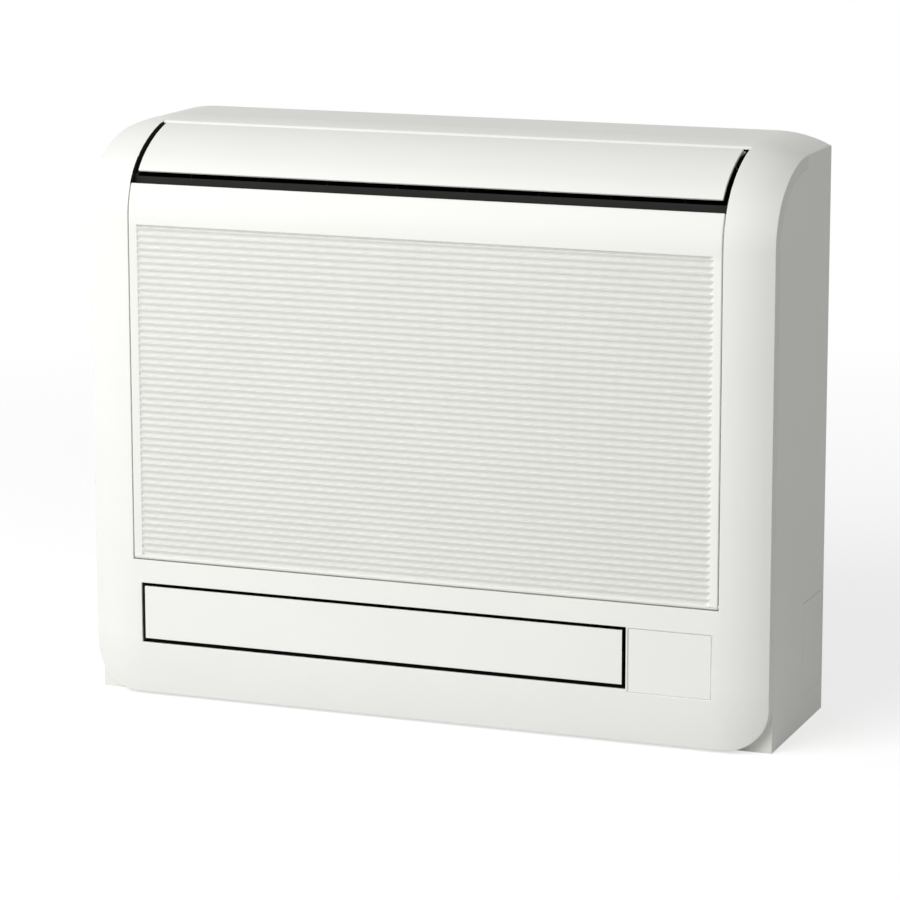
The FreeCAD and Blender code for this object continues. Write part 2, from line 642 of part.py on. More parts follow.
def make_upper_flap():
    """Curved flap that follows the skin, with a tongue under the cover's lip and an arm at each end."""
    wall = dim.flap_wall.value
    rear_y = front + dim.flap_rear_depth
    tongue_y = rear_y + dim.tongue_depth
    tongue_top = dim.unit_height - dim.tongue_drop
    tongue_low = tongue_top - dim.tongue_wall
    inner_radius = dim.brow_radius - dim.flap_wall
    low_angle = math.asin((flap_low.value - shoulder_z.value) / dim.shoulder_radius.value)
    rear_angle = math.acos((brow_y - rear_y).value / dim.brow_radius.value)
    meet_angle = math.asin((tongue_low - brow_z).value / inner_radius.value)
    outer_low = on_arc(shoulder_y, shoulder_z, dim.shoulder_radius.value, low_angle)
    inner_low = on_arc(shoulder_y, shoulder_z, dim.shoulder_radius.value - wall, low_angle)
    rear_point = on_arc(brow_y, brow_z, dim.brow_radius.value, rear_angle)
    meet_point = on_arc(brow_y, brow_z, inner_radius.value, meet_angle)
    corners = [rear_point, point(0, rear_y, tongue_top), point(0, tongue_y, tongue_top),
               point(0, tongue_y, tongue_low), meet_point]
    edges = [shoulder_arc(0, low_angle, join_angle), brow_arc(0, join_angle, rear_angle)]
    edges += [Part.makeLine(near, far) for near, far in zip(corners, corners[1:])]
    edges += [brow_arc(wall, meet_angle, join_angle), shoulder_arc(wall, join_angle, low_angle),
              Part.makeLine(inner_low, outer_low)]
    skin = Part.Face(Part.Wire(edges)).extrude(point(flap_half * 2, 0, 0))
    skin.translate(point(-flap_half, 0, 0))
    reach_y = flap_y - dim.flap_arm_reach
    near_y = flap_y - dim.flap_boss_radius
    arm_outline = [
        (reach_y, brow_height(reach_y, dim.flap_wall / 2)), (near_y, brow_height(near_y, dim.flap_wall / 2)),
        (flap_y + dim.flap_boss_radius, tongue_low + dim.tongue_wall / 2),
        (flap_y + dim.flap_boss_radius, flap_z), (flap_y, flap_z - dim.flap_boss_radius),
    ]
    outer = flap_half - dim.flap_arm_inset
    inner = outer - dim.flap_arm_wall
    arms = []
    bores = []
    pins = []
    for name, span in (("left", (-outer, -inner)), ("right", (inner, outer))):
        arms.append(pad("flap_arm_" + name, "X", arm_outline, span))
        arms.append(rod("flap_boss_" + name, "X", (span[0], flap_y, flap_z), dim.flap_boss_radius,
                        dim.flap_arm_wall))
        bores.append(rod("flap_bore_" + name, "X", (span[0] - dim.overrun, flap_y, flap_z), dim.flap_pin_radius,
                         dim.flap_arm_wall + dim.overrun + dim.overrun))
        start = span[0] if name == "right" else span[0] - dim.flap_pin_reach
        pins.append(rod("flap_pin_" + name, "X", (start, flap_y, flap_z), dim.flap_pin_radius,
                        dim.flap_arm_wall + dim.flap_pin_reach))
    node(cut("upper_flap", fuse("flap_fused", form("flap_skin", skin), *arms), *bores), "upper_flap")
    node(group("upper_flap_pins", *pins), "upper_flap_pins")


def make_upper_flap_drive():
    bushes = []
    for start in (-duct_end_outer, duct_end_inner):
        ring = rod("flap_bush_body", "X", (start, flap_y, flap_z), dim.bush_radius, dim.duct_end_wall)
        hole = rod("flap_bush_hole", "X", (start - dim.overrun, flap_y, flap_z), dim.flap_pin_radius + dim.pin_fit,
                   dim.duct_end_wall + dim.overrun + dim.overrun)
        bushes.append(cut("flap_bush", ring, hole))
    node(group("upper_flap_bushes", *bushes), "upper_flap_bushes")
    can = rod("flap_motor_can", "X", (duct_end_outer, flap_y, flap_z - dim.step_motor_drop),
              dim.step_motor_radius, dim.step_motor_length)
    bore = rod("flap_motor_bore", "X", (duct_end_outer - dim.overrun, flap_y, flap_z),
               dim.flap_pin_radius + dim.step_bore_gap, dim.overrun + dim.step_bore_depth)
    node(cut("upper_flap_motor", can, bore), "upper_flap_motor")


vane_y = front + dim.vane_pivot_depth
vane_low = duct_floor + dim.duct_wall + dim.vane_lift
vane_pitch = (duct_end_inner - dim.vane_margin) * 2 / 7
vane_places = [vane_pitch * (index - 3.5) for index in range(8)]
channel_inner = (channel[0] + dim.channel_wall, channel[1] - dim.channel_wall)
plate_y = (front + dim.plate_front_depth, front + dim.plate_front_depth + dim.plate_wall)


def make_upper_duct():
    """Dark channel from the fan to the upper outlet, with end plates that carry the flap."""
    wall = dim.duct_wall
    near = front + dim.duct_front_depth
    far = back - dim.duct_back_inset
    floor = (duct_floor, duct_floor + wall)
    width = (-duct_end_inner - wall, duct_end_inner + wall)
    roof_y = front + dim.roof_front_depth
    roof_z = dim.unit_height - dim.roof_front_drop
    end_outline = [
        (near, floor[0]), (far, floor[0]), (far, floor[1]), (roof_y, roof_z),
        (flap_y, dim.unit_height - dim.end_notch_drop),
        (front + dim.end_slope_depth, dim.unit_height - dim.end_slope_drop),
        (front + dim.end_knee_depth, dim.unit_height - dim.end_knee_drop), (near, duct_lip),
    ]
    ends = [
        pad("duct_end_left", "X", end_outline, (-duct_end_outer, -duct_end_inner)),
        pad("duct_end_right", "X", end_outline, (duct_end_inner, duct_end_outer)),
    ]
    base = cut("duct_base", block("duct_base_plate", width, (near, far), floor),
               block("duct_throat", channel_inner, (plate_y[1], far + dim.overrun),
                     (floor[0] - dim.overrun, floor[1] + dim.overrun)))
    lip = block("duct_front_wall", width, (near, near + wall), (floor[0], duct_lip))
    roof = pad("duct_roof", "X", [(far, floor[1]), (roof_y, roof_z), (roof_y, roof_z - wall), (far - wall, floor[0])],
               width)
    bores = [
        rod("flap_end_bore", "X", (start - dim.overrun, flap_y, flap_z), dim.bush_radius,
            dim.duct_end_wall + dim.overrun + dim.overrun)
        for start in (-duct_end_outer, duct_end_inner)
    ]
    sockets = [
        rod("vane_socket", "Z", (place, vane_y, floor[0] - dim.overrun), dim.vane_pin_radius + dim.pin_fit,
            wall + dim.overrun + dim.overrun)
        for place in vane_places
    ]
    whole = fuse("duct_fused", base, lip, roof, *ends)
    node(cut("upper_outlet_duct", whole, *bores, *sockets), "upper_outlet_duct")


def make_vanes():
    """Eight upright vanes that turn in the duct floor, each with a pin for its link bar."""
    top = vane_low + dim.vane_height
    link_y = vane_y - dim.link_arm
    for index, place in enumerate(vane_places, start=1):
        blade = block("vane_blade_%d" % index, (place - dim.vane_wall / 2, place + dim.vane_wall / 2),
                      (vane_y - dim.vane_ahead, vane_y + dim.vane_behind), (vane_low, top))
        foot = rod("vane_foot_%d" % index, "Z", (place, vane_y, duct_floor), dim.vane_pin_radius,
                   top - duct_floor)
        pin = rod("vane_link_pin_%d" % index, "Z", (place, link_y, vane_low), dim.link_pin_radius,
                  dim.vane_height + dim.running_gap + dim.link_pin_height)
        node(fuse("guide_vane_%d" % index, blade, foot, pin), "guide_vane_%d" % index)
    low = top + dim.running_gap
    depth = (link_y - dim.link_slot_ahead - dim.link_pin_radius - dim.link_edge,
             link_y + dim.link_slot_behind + dim.link_edge)
    for label, places in (("link_bar_left", vane_places[:4]), ("link_bar_right", vane_places[4:])):
        bar = block(label + "_bar", (places[0] - dim.link_end, places[-1] + dim.link_end), depth,
                    (low, low + dim.link_wall))
        slots = [
            block("link_slot", (place - dim.link_pin_radius - dim.link_slot_side,
                                place + dim.link_pin_radius + dim.link_slot_side),
                  (depth[0] + dim.link_edge, depth[1] - dim.link_edge),
                  (low - dim.overrun, low + dim.link_wall + dim.overrun))
            for place in places
        ]
        node(cut(label, bar, *slots), label)


door_y = front + dim.door_pivot_depth
door_z = (dim.door_bottom + dim.door_top) / 2


def make_lower_flap():
    """Flat door that turns about half its height, with a cheek and a pin at each end."""
    panel = block("door_panel", (door_left, door_right), (front, front + dim.door_wall),
                  (dim.door_bottom, dim.door_top))
    pieces = [panel, block("door_rib", (door_left, door_right),
                           (front, front + dim.door_wall + dim.door_rib_depth),
                           (door_z - dim.door_rib_wall / 2, door_z + dim.door_rib_wall / 2))]
    bores = []
    pins = []
    reach_left = door_left - channel[0] + dim.step_bore_depth - dim.running_gap
    reach_right = channel[1] - door_right
    for name, start in (("left", door_left), ("right", door_right - dim.door_cheek_wall)):
        pieces.append(block("door_cheek_" + name, (start, start + dim.door_cheek_wall), (front, door_y),
                            (door_z - dim.door_boss_radius, door_z + dim.door_boss_radius)))
        pieces.append(rod("door_boss_" + name, "X", (start, door_y, door_z), dim.door_boss_radius,
                          dim.door_cheek_wall))
        bores.append(rod("door_bore_" + name, "X", (start - dim.overrun, door_y, door_z), dim.door_pin_radius,
                         dim.door_cheek_wall + dim.overrun + dim.overrun))
    pins.append(rod("door_pin_left", "X", (door_left - reach_left, door_y, door_z), dim.door_pin_radius,
                    reach_left + dim.door_cheek_wall))
    pins.append(rod("door_pin_right", "X", (door_right - dim.door_cheek_wall, door_y, door_z), dim.door_pin_radius,
                    reach_right + dim.door_cheek_wall))
    node(cut("lower_flap", fuse("door_fused", *pieces), *bores), "lower_flap")
    node(group("lower_flap_pins", *pins), "lower_flap_pins")
    bushes = []
    for start in (channel[0], channel_inner[1]):
        ring = rod("door_bush_body", "X", (start, door_y, door_z), dim.door_bush_radius, dim.channel_wall)
        hole = rod("door_bush_hole", "X", (start - dim.overrun, door_y, door_z), dim.door_pin_radius + dim.pin_fit,
                   dim.channel_wall + dim.overrun + dim.overrun)
        bushes.append(cut("door_bush", ring, hole))
    node(group("lower_flap_bushes", *bushes), "lower_flap_bushes")
    can = rod("door_motor_can", "X", (channel[0] - dim.door_motor_length, door_y + dim.step_motor_drop, door_z),
              dim.door_motor_radius, dim.door_motor_length)
    bore = rod("door_motor_bore", "X", (channel[0] - dim.step_bore_depth, door_y, door_z),
               dim.door_pin_radius + dim.step_bore_gap, dim.step_bore_depth + dim.overrun)
    node(cut("lower_flap_motor", can, bore), "lower_flap_motor")


def make_lower_duct():
    """Dark channel behind the door, on two legs that stand on the casing floor."""
    wall = dim.channel_wall
    near = front + dim.channel_front_depth
    far = plate_y[1]
    inner_height = (dim.channel_low + wall, dim.channel_high - wall)
    tube = cut("channel_tube", block("channel_outer", channel, (near, far), (dim.channel_low, dim.channel_high)),
               block("channel_inner", channel_inner, (near - dim.overrun, far + dim.overrun), inner_height))
    leg_y = (front + dim.leg_front_depth, far)
    leg_z = (dim.casing_wall, dim.channel_low + wall)
    legs = [block("channel_leg_left", (channel[0], channel_inner[0]), leg_y, leg_z),
            block("channel_leg_right", (channel_inner[1], channel[1]), leg_y, leg_z)]
    count = SIZES["fixed_rib_count"]
    step = (channel_inner[1] - channel_inner[0]) / (dim.fixed_rib_count + 1)
    ribs = []
    for index in range(1, count + 1):
        place = channel_inner[0] + step * index
        ribs.append(block("channel_rib", (place - dim.fixed_rib_wall / 2, place + dim.fixed_rib_wall / 2),
                          (front + dim.fixed_rib_front, far), (dim.channel_low, dim.channel_high)))
    bores = [
        rod("door_end_bore", "X", (start - dim.overrun, door_y, door_z), dim.door_bush_radius,
            wall + dim.overrun + dim.overrun)
        for start in (channel[0], channel_inner[1])
    ]
    node(cut("lower_outlet_duct", fuse("channel_fused", tube, *legs, *ribs), *bores), "lower_outlet_duct")


fan_x = (channel[0] + channel[1]) / 2
fan_z = (dim.channel_high + duct_floor) / 2 + dim.fan_rise
fan_y = (front + dim.fan_front_depth, back - dim.fan_back_inset)
fan_length = fan_y[1] - fan_y[0]
bracket_y = (back - dim.casing_wall - dim.bracket_wall, back - dim.casing_wall)
motor_back = bracket_y[0] - dim.mount_wall
motor_front = motor_back - dim.motor_length
dome_front = fan_y[1] - dim.dome_depth


def tube_along_y(name, radius, bore, start, length):
    """Ring about the fan axis."""
    outer = rod(name + "_outer", "Y", (fan_x, start, fan_z), radius, length)
    hole = rod(name + "_hole", "Y", (fan_x, start - dim.overrun, fan_z), bore, length + dim.overrun + dim.overrun)
    return cut(name, outer, hole)


def make_fan_housing():
    depth = (plate_y[1], back - dim.casing_wall)
    height = (dim.casing_wall, duct_floor)
    walls = [
        block("housing_left", (channel[0], channel_inner[0]), depth, height),
        block("housing_right", (channel_inner[1], channel[1]), depth, height),
        block("housing_floor", channel, depth, (height[0], height[0] + dim.channel_wall)),
    ]
    node(fuse("fan_housing", *walls), "fan_housing")
    plate = block("orifice_sheet", channel, plate_y, (dim.channel_high, duct_floor))
    mouth = rod("orifice_collar", "Y", (fan_x, plate_y[0], fan_z), mouth_radius, dim.mouth_length)
    throat = rod("orifice_hole", "Y", (fan_x, plate_y[0] - dim.overrun, fan_z), mouth_radius - dim.mouth_wall,
                 dim.mouth_length + dim.overrun + dim.overrun)
    inset = dim.plate_screw_inset
    corners = [
        (x, z)
        for x in (channel[0] + inset, channel[1] - inset)
        for z in (dim.channel_high + dim.pan_height + inset, duct_floor - inset)
    ]
    holes = [rod("plate_hole", "Y", (x, plate_y[0] - dim.overrun, z), dim.plate_screw_radius,
                 dim.plate_wall + dim.overrun + dim.overrun) for x, z in corners]
    node(cut("fan_orifice_plate", fuse("orifice_fused", plate, mouth), throat, *holes), "fan_orifice_plate")
    screws = []
    for x, z in corners:
        head = rod("plate_screw_head", "Y", (x, plate_y[0] - dim.plate_screw_head_wall, z), dim.plate_screw_head,
                   dim.plate_screw_head_wall)
        shank = rod("plate_screw_shank", "Y", (x, plate_y[0] - dim.plate_screw_head_wall, z), dim.plate_screw_radius,
                    dim.plate_screw_head_wall + dim.plate_wall)
        screws.append(fuse("plate_screw", head, shank))
    node(group("orifice_screws", *screws), "orifice_screws")


def fan_blades():
    """Backward-curved blades between the front ring and the back disc."""
    inner = dim.blade_inner_radius.value
    outer = (fan_radius - dim.blade_bite).value
    sweep_angle = math.radians(dim.blade_sweep_deg.value)
    thick = dim.blade_wall.value
    start = Vector(inner, 0, 0)
    end = Vector(outer * math.cos(sweep_angle), outer * math.sin(sweep_angle), 0)
    along = (end - start).normalize()
    across = Vector(-along.y, along.x, 0)
    bow = across * dim.blade_bow.value
    middle = (start + end) * 0.5 - bow
    shift = across * thick
    edges = [
        Part.Arc(start, middle, end).toShape(),
        Part.makeLine(end, end + shift),
        Part.Arc(end + shift, middle + shift, start + shift).toShape(),
        Part.makeLine(start + shift, start),
    ]
    length = (fan_length - dim.fan_disc_wall * 2 + dim.blade_bite * 2).value
    blade = Part.Face(Part.Wire(edges)).extrude(Vector(0, 0, length))
    count = SIZES["blade_count"]
    blades = []
    for index in range(count):
        copy = blade.copy()
        copy.rotate(Vector(0, 0, 0), Vector(0, 0, 1), 360 * index / count)
        copy.Placement = FreeCAD.Placement(
            point(fan_x, fan_y[0] + dim.fan_disc_wall - dim.blade_bite, fan_z), TURNS["Y"]
        ).multiply(copy.Placement)
        blades.append(copy)
    return Part.makeCompound(blades)


def make_fan():
    disc = dim.fan_disc_wall
    ring = tube_along_y("fan_ring", fan_radius, fan_eye_radius, fan_y[0], disc)
    plate = tube_along_y("fan_back", fan_radius, dim.dome_radius - disc, fan_y[1] - disc, disc)
    dome = tube_along_y("fan_dome", dim.dome_radius, dim.dome_radius - disc, dome_front, dim.dome_depth)
    cap = rod("fan_dome_cap", "Y", (fan_x, dome_front - disc, fan_z), dim.dome_radius, disc)
    nose = dome_front - dim.fan_boss_length
    boss = rod("fan_boss", "Y", (fan_x, nose, fan_z), dim.fan_boss_radius, dim.fan_boss_length)
    bore = rod("fan_bore", "Y", (fan_x, nose - dim.overrun, fan_z), dim.shaft_radius,
               dim.fan_boss_length + dim.dome_depth + dim.overrun)
    whole = fuse("fan_fused", ring, plate, dome, cap, boss, form("fan_blades", fan_blades()))
    node(cut("fan_wheel", whole, bore), "fan_wheel")
    shaft_start = nose - dim.shaft_nose
    shaft_end = motor_front + dim.shaft_tail
    node(rod("fan_shaft", "Y", (fan_x, shaft_start, fan_z), dim.shaft_radius, shaft_end - shaft_start), "fan_shaft")
    node(tube_along_y("fan_nut", dim.nut_radius, dim.shaft_radius, nose - dim.nut_wall, dim.nut_wall), "fan_nut")


def make_fan_motor():
    can = rod("motor_can", "Y", (fan_x, motor_front, fan_z), dim.motor_radius, dim.motor_length)
    bore = rod("motor_bore", "Y", (fan_x, motor_front - dim.overrun, fan_z), dim.shaft_radius + dim.pin_fit,
               dim.overrun + dim.shaft_tail + dim.running_gap)
    node(cut("fan_motor", can, bore), "fan_motor")
    mounts = [
        rod("motor_mount", "Y", (fan_x + dim.mount_circle * side, motor_back, fan_z + dim.mount_circle * rise),
            dim.mount_radius, dim.mount_wall)
        for side, rise in ((-0.7, -0.7), (-0.7, 0.7), (0.7, -0.7), (0.7, 0.7))
    ]
    node(group("motor_mounts", *mounts), "motor_mounts")
    span = dim.bracket_half
    node(block("motor_bracket", (fan_x - span, fan_x + span), bracket_y, (fan_z - span, fan_z + span)),
         "motor_bracket")


fin_y = (front + dim.fin_front_depth, front + dim.fin_front_depth + dim.fin_wall)
tube_y = (fin_y[0] + fin_y[1]) / 2
tube_pairs = int((fin_high - dim.tube_first + dim.tube_pitch).value / (dim.tube_pitch * 2).value)
tube_levels = [dim.tube_first + dim.tube_pitch * index for index in range(tube_pairs * 2)]


def make_coil():
    """Finned block with one copper tube that runs to and fro through it."""
    pack = block("fin_block", fin_x, fin_y, (dim.fin_low, fin_high))
    fit = dim.tube_radius + dim.pin_fit
    holes = [rod("fin_hole", "X", (fin_x[0] - dim.overrun, tube_y, level), fit,
                 fin_x[1] - fin_x[0] + dim.overrun * 2) for level in tube_levels]
    node(cut("fin_pack", pack, *holes), "fin_pack")
    margin = dim.end_plate_margin
    plates = []
    for name, start in (("left", fin_x[0] - dim.end_plate_wall), ("right", fin_x[1])):
        sheet_plate = block("end_sheet_" + name, (start, start + dim.end_plate_wall),
                            (fin_y[0] - margin, fin_y[1] + margin), (dim.fin_low, fin_high + margin))
        end_holes = [rod("end_hole", "X", (start - dim.overrun, tube_y, level), fit,
                         dim.end_plate_wall + dim.overrun * 2) for level in tube_levels]
        plates.append(cut("end_plate_" + name, sheet_plate, *end_holes))
    node(group("coil_end_plates", *plates), "coil_end_plates")
    node(form("coil_tubes", serpentine()), "coil_tubes")


def serpentine():
    left = fin_x[0] - dim.end_plate_wall - dim.running_gap
    right = fin_x[1] + dim.end_plate_wall + dim.running_gap
    bend = dim.tube_pitch / 2
    stub = left - dim.tube_stub
    edges = []
    last = len(tube_levels) - 1
    for index, level in enumerate(tube_levels):
        outward = index % 2 == 0
        near, far = (left, right) if outward else (right, left)
        start = stub if index == 0 else near
        end = stub if index == last else far
        edges.append(Part.makeLine(point(start, tube_y, level), point(end, tube_y, level)))
        if index < last:
            crest = far + bend if outward else far - bend
            edges.append(Part.Arc(point(far, tube_y, level), point(crest, tube_y, level + bend),
                                  point(far, tube_y, level + dim.tube_pitch)).toShape())
    return round_pipe(Part.Wire(edges), point(stub, tube_y, tube_levels[0]), Vector(1, 0, 0), dim.tube_radius)


def round_pipe(path, start, direction, radius):
    return sweep(path, Part.Wire(Part.makeCircle(radius.value, start, direction)))


def bent_path(corners, bend):
    """Straight runs joined by tangent arcs of one bend radius."""
    edges = []
    here = corners[0]
    for corner, after in zip(corners[1:-1], corners[2:]):
        arrive = (corner - here).normalize()
        leave = (after - corner).normalize()
        turn = arrive.getAngle(leave)
        reach = bend * math.tan(turn / 2)
        begin = corner - arrive * reach
        end = corner + leave * reach
        inward = (leave - arrive).normalize()
        middle = corner + inward * (bend / math.cos(turn / 2) - bend)
        edges.append(Part.makeLine(here, begin))
        edges.append(Part.Arc(begin, middle, end).toShape())
        here = end
    edges.append(Part.makeLine(here, corners[-1]))
    return Part.Wire(edges)


def make_pipes():
    """Copper pipes from the coil to the unions behind the rear pipe opening."""
    stub = fin_x[0] - dim.end_plate_wall - dim.running_gap - dim.tube_stub
    nuts = []
    for label, left, level, low, radius, union in (
        ("gas_pipe", -gas_left, tube_levels[-1], dim.gas_height, dim.gas_radius, dim.gas_union_radius),
        ("liquid_pipe", -liquid_left, tube_levels[0], dim.liquid_height, dim.liquid_radius,
         dim.liquid_union_radius),
    ):
        corners = [point(stub, tube_y, level), point(left, tube_y, level), point(left, tube_y, low),
                   point(left, union_y, low)]
        pipe = round_pipe(bent_path(corners, dim.pipe_bend.value), corners[0], Vector(-1, 0, 0), radius)
        stem = rod(label + "_union", "Y", (left, union_y, low), union, dim.union_length)
        node(fuse(label, form(label + "_run", pipe), stem), label)
        nut_y = union_y - dim.nut_offset - dim.nut_length
        hexagon = doc.addObject("Part::Prism", label + "_nut_body")
        hexagon.Polygon = 6
        hexagon.Placement = FreeCAD.Placement(Vector(), TURNS["Y"])
        bind(hexagon, Circumradius=union * dim.nut_flats_share, Height=dim.nut_length)
        set_base(hexagon, left, nut_y, low)
        hole = rod(label + "_nut_hole", "Y", (left, nut_y - dim.overrun, low), radius,
                   dim.nut_length + dim.overrun + dim.overrun)
        nuts.append(cut(label + "_nut", hexagon, hole))
    node(group("flare_nuts", *nuts), "flare_nuts")


def make_drain_pan():
    """Pan under the coil, with cross ribs that carry the fins and a hole over the spout."""
    wall = dim.pan_wall
    span = (-pan_left, channel[1])
    depth = (front + dim.pan_front_depth, plate_y[0])
    height = (dim.channel_high, dim.channel_high + dim.pan_height)
    basin = cut("pan_basin", block("pan_outer", span, depth, height),
                block("pan_inner", (span[0] + wall, span[1] - wall), (depth[0] + wall, depth[1] - wall),
                      (height[0] + wall, height[1] + dim.overrun)))
    step = (fin_x[1] - fin_x[0]) / (dim.pan_rib_count + 1)
    ribs = []
    for index in range(1, SIZES["pan_rib_count"] + 1):
        place = fin_x[0] + step * index
        ribs.append(block("pan_rib", (place - dim.pan_rib_wall / 2, place + dim.pan_rib_wall / 2),
                          (fin_y[0], fin_y[1]), (height[0], dim.fin_low)))
    spout_x = span[0] + dim.spout_inset
    spout_y = front + dim.spout_depth
    drain = rod("pan_drain", "Z", (spout_x, spout_y, height[0] - dim.overrun), dim.spout_bore,
                wall + dim.overrun + dim.overrun)
    node(cut("drain_pan", fuse("pan_fused", basin, *ribs), drain), "drain_pan")
    tube = rod("spout_tube", "Z", (spout_x, spout_y, height[0] - dim.spout_length), dim.spout_radius,
               dim.spout_length)
    bore = rod("spout_bore", "Z", (spout_x, spout_y, height[0] - dim.spout_length - dim.overrun), dim.spout_bore,
               dim.spout_length + dim.overrun + dim.overrun)
    node(cut("drain_spout", tube, bore), "drain_spout")


def make_filters():
    """Fixed frame in front of the coil, and two filters that lean on it."""
    near = front + dim.filter_front_depth
    far = near + dim.filter_frame_wall
    span = filter_x
    height = (dim.channel_high, duct_floor)
    rim = dim.filter_frame_rim
    middle = (span[0] + span[1]) / 2
    half_bar = dim.filter_mullion / 2
    through = (near - dim.overrun, far + dim.overrun)
    opening_z = (dim.filter_low + rim, filter_high - rim)
    node(cut("filter_frame", block("filter_frame_sheet", span, (near, far), height),
             block("filter_opening_left", (span[0] + rim, middle - half_bar), through, opening_z),
             block("filter_opening_right", (middle + half_bar, span[1] - rim), through, opening_z)), "filter_frame")
    split = dim.filter_split_gap / 2
    panel_y = (near - dim.filter_wall, near)
    mesh_y = ((panel_y[0] + panel_y[1] - dim.mesh_wall) / 2, (panel_y[0] + panel_y[1] + dim.mesh_wall) / 2)
    inner_z = (dim.filter_low + dim.filter_rim, filter_high - dim.filter_rim)
    meshes = []
    for label, x in (("air_filter_left", (span[0], middle - split)), ("air_filter_right", (middle + split, span[1]))):
        inner_x = (x[0] + dim.filter_rim, x[1] - dim.filter_rim)
        ring = cut(label + "_ring", block(label + "_outer", x, panel_y, (dim.filter_low, filter_high)),
                   block(label + "_inner", inner_x, (panel_y[0] - dim.overrun, panel_y[1] + dim.overrun), inner_z))
        step = (inner_z[1] - inner_z[0]) / (dim.filter_bar_count + 1)
        bars = []
        for index in range(1, SIZES["filter_bar_count"] + 1):
            place = inner_z[0] + step * index
            bars.append(block(label + "_bar", x, (panel_y[0], mesh_y[0]),
                              (place - dim.filter_bar / 2, place + dim.filter_bar / 2)))
        node(fuse(label, ring, *bars), label)
        meshes.append(block(label + "_mesh", inner_x, mesh_y, inner_z))
    node(group("filter_meshes", *meshes), "filter_meshes")


box_y = (front + dim.box_front_depth, front + dim.box_back_depth)
box_z = (dim.casing_wall, box_high)
lid_y = (box_y[0] - dim.box_wall, box_y[0])
button_x = box_x[0] + dim.button_inset


def make_control_box():
    wall = dim.box_wall
    inner_x = (box_x[0] + wall, box_x[1] - wall)
    node(cut("control_box", block("box_outer", box_x, box_y, box_z),
             block("box_inner", inner_x, (box_y[0] - dim.overrun, box_y[1] - wall),
                   (box_z[0] + wall, box_z[1] - wall))), "control_box")
    inset = dim.lid_screw_inset
    screw_x = (box_x[0] + box_x[1]) / 2
    screw_z = (dim.window_bottom + inset, box_z[1] - inset)
    holes = [rod("lid_hole", "Y", (screw_x, lid_y[0] - dim.overrun, z), dim.lid_screw_radius,
                 wall + dim.overrun + dim.overrun) for z in screw_z]
    holes.append(rod("button_hole", "Y", (button_x, lid_y[0] - dim.overrun, dim.button_height),
                     dim.button_radius + dim.running_gap, wall + dim.overrun + dim.overrun))
    node(cut("control_box_lid", block("lid_sheet", box_x, lid_y, box_z), *holes), "control_box_lid")
    screws = []
    for z in screw_z:
        head = rod("lid_screw_head", "Y", (screw_x, lid_y[0] - dim.lid_screw_head_wall, z), dim.lid_screw_head,
                   dim.lid_screw_head_wall)
        shank = rod("lid_screw_shank", "Y", (screw_x, lid_y[0] - dim.lid_screw_head_wall, z), dim.lid_screw_radius,
                    dim.lid_screw_head_wall + wall)
        screws.append(fuse("lid_screw", head, shank))
    node(group("lid_screws", *screws), "lid_screws")
    start = lid_y[0] - dim.button_proud
    node(rod("emergency_button", "Y", (button_x, start, dim.button_height), dim.button_radius,
             lid_y[1] + dim.button_tail - start), "emergency_button")
    make_board(inner_x, box_y[1] - wall)
    floor = box_z[0] + wall
    middle = (box_x[0] + box_x[1]) / 2
    terminal_y = box_y[0] + dim.terminal_inset
    node(block("terminal_block", (middle - dim.terminal_width / 2, middle + dim.terminal_width / 2),
               (terminal_y, terminal_y + dim.terminal_depth), (floor, floor + dim.terminal_tall)), "terminal_block")
    clamp_y = box_y[0] + dim.clamp_inset
    clamp = block("clamp_body", (middle - dim.clamp_width / 2, middle + dim.clamp_width / 2),
                  (clamp_y, clamp_y + dim.clamp_depth), (floor, floor + dim.clamp_tall))
    notch = rod("clamp_notch", "Y", (middle, clamp_y - dim.overrun, floor + dim.clamp_tall), dim.clamp_notch_radius,
                dim.clamp_depth + dim.overrun + dim.overrun)
    node(cut("cable_clamp", clamp, notch), "cable_clamp")


def make_board(inner_x, rear):
    """Circuit board on four stand-offs, with the taller parts on its front."""
    margin = dim.board_margin
    x = (inner_x[0] + margin, inner_x[1] - margin)
    y = (rear - dim.standoff_length - dim.board_wall, rear - dim.standoff_length)
    z = (dim.board_low, box_z[1] - margin)
    node(block("control_board", x, y, z), "control_board")
    inset = dim.standoff_inset
    posts = [rod("standoff", "Y", (place_x, y[1], place_z), dim.standoff_radius, dim.standoff_length)
             for place_x in (x[0] + inset, x[1] - inset) for place_z in (z[0] + inset, z[1] - inset)]
    node(group("board_standoffs", *posts), "board_standoffs")
    tall = dim.part_tall
    parts = [rod("capacitor", "Y", (x[0] + dim.part_radius + inset, y[0] - tall, z[0] + dim.part_block * rank),
                 dim.part_radius, tall) for rank in (1, 2)]
    block_x = (x[1] - inset - dim.part_block, x[1] - inset)
    first = z[0] + dim.part_block * 2
    step = (z[1] - first - dim.part_block - dim.part_top_margin) / 2
    for rank in range(3):
        low = first + step * rank
        parts.append(block("board_part", block_x, (y[0] - dim.part_block_tall, y[0]), (low, low + dim.part_block)))
    node(group("board_components", *parts), "board_components")


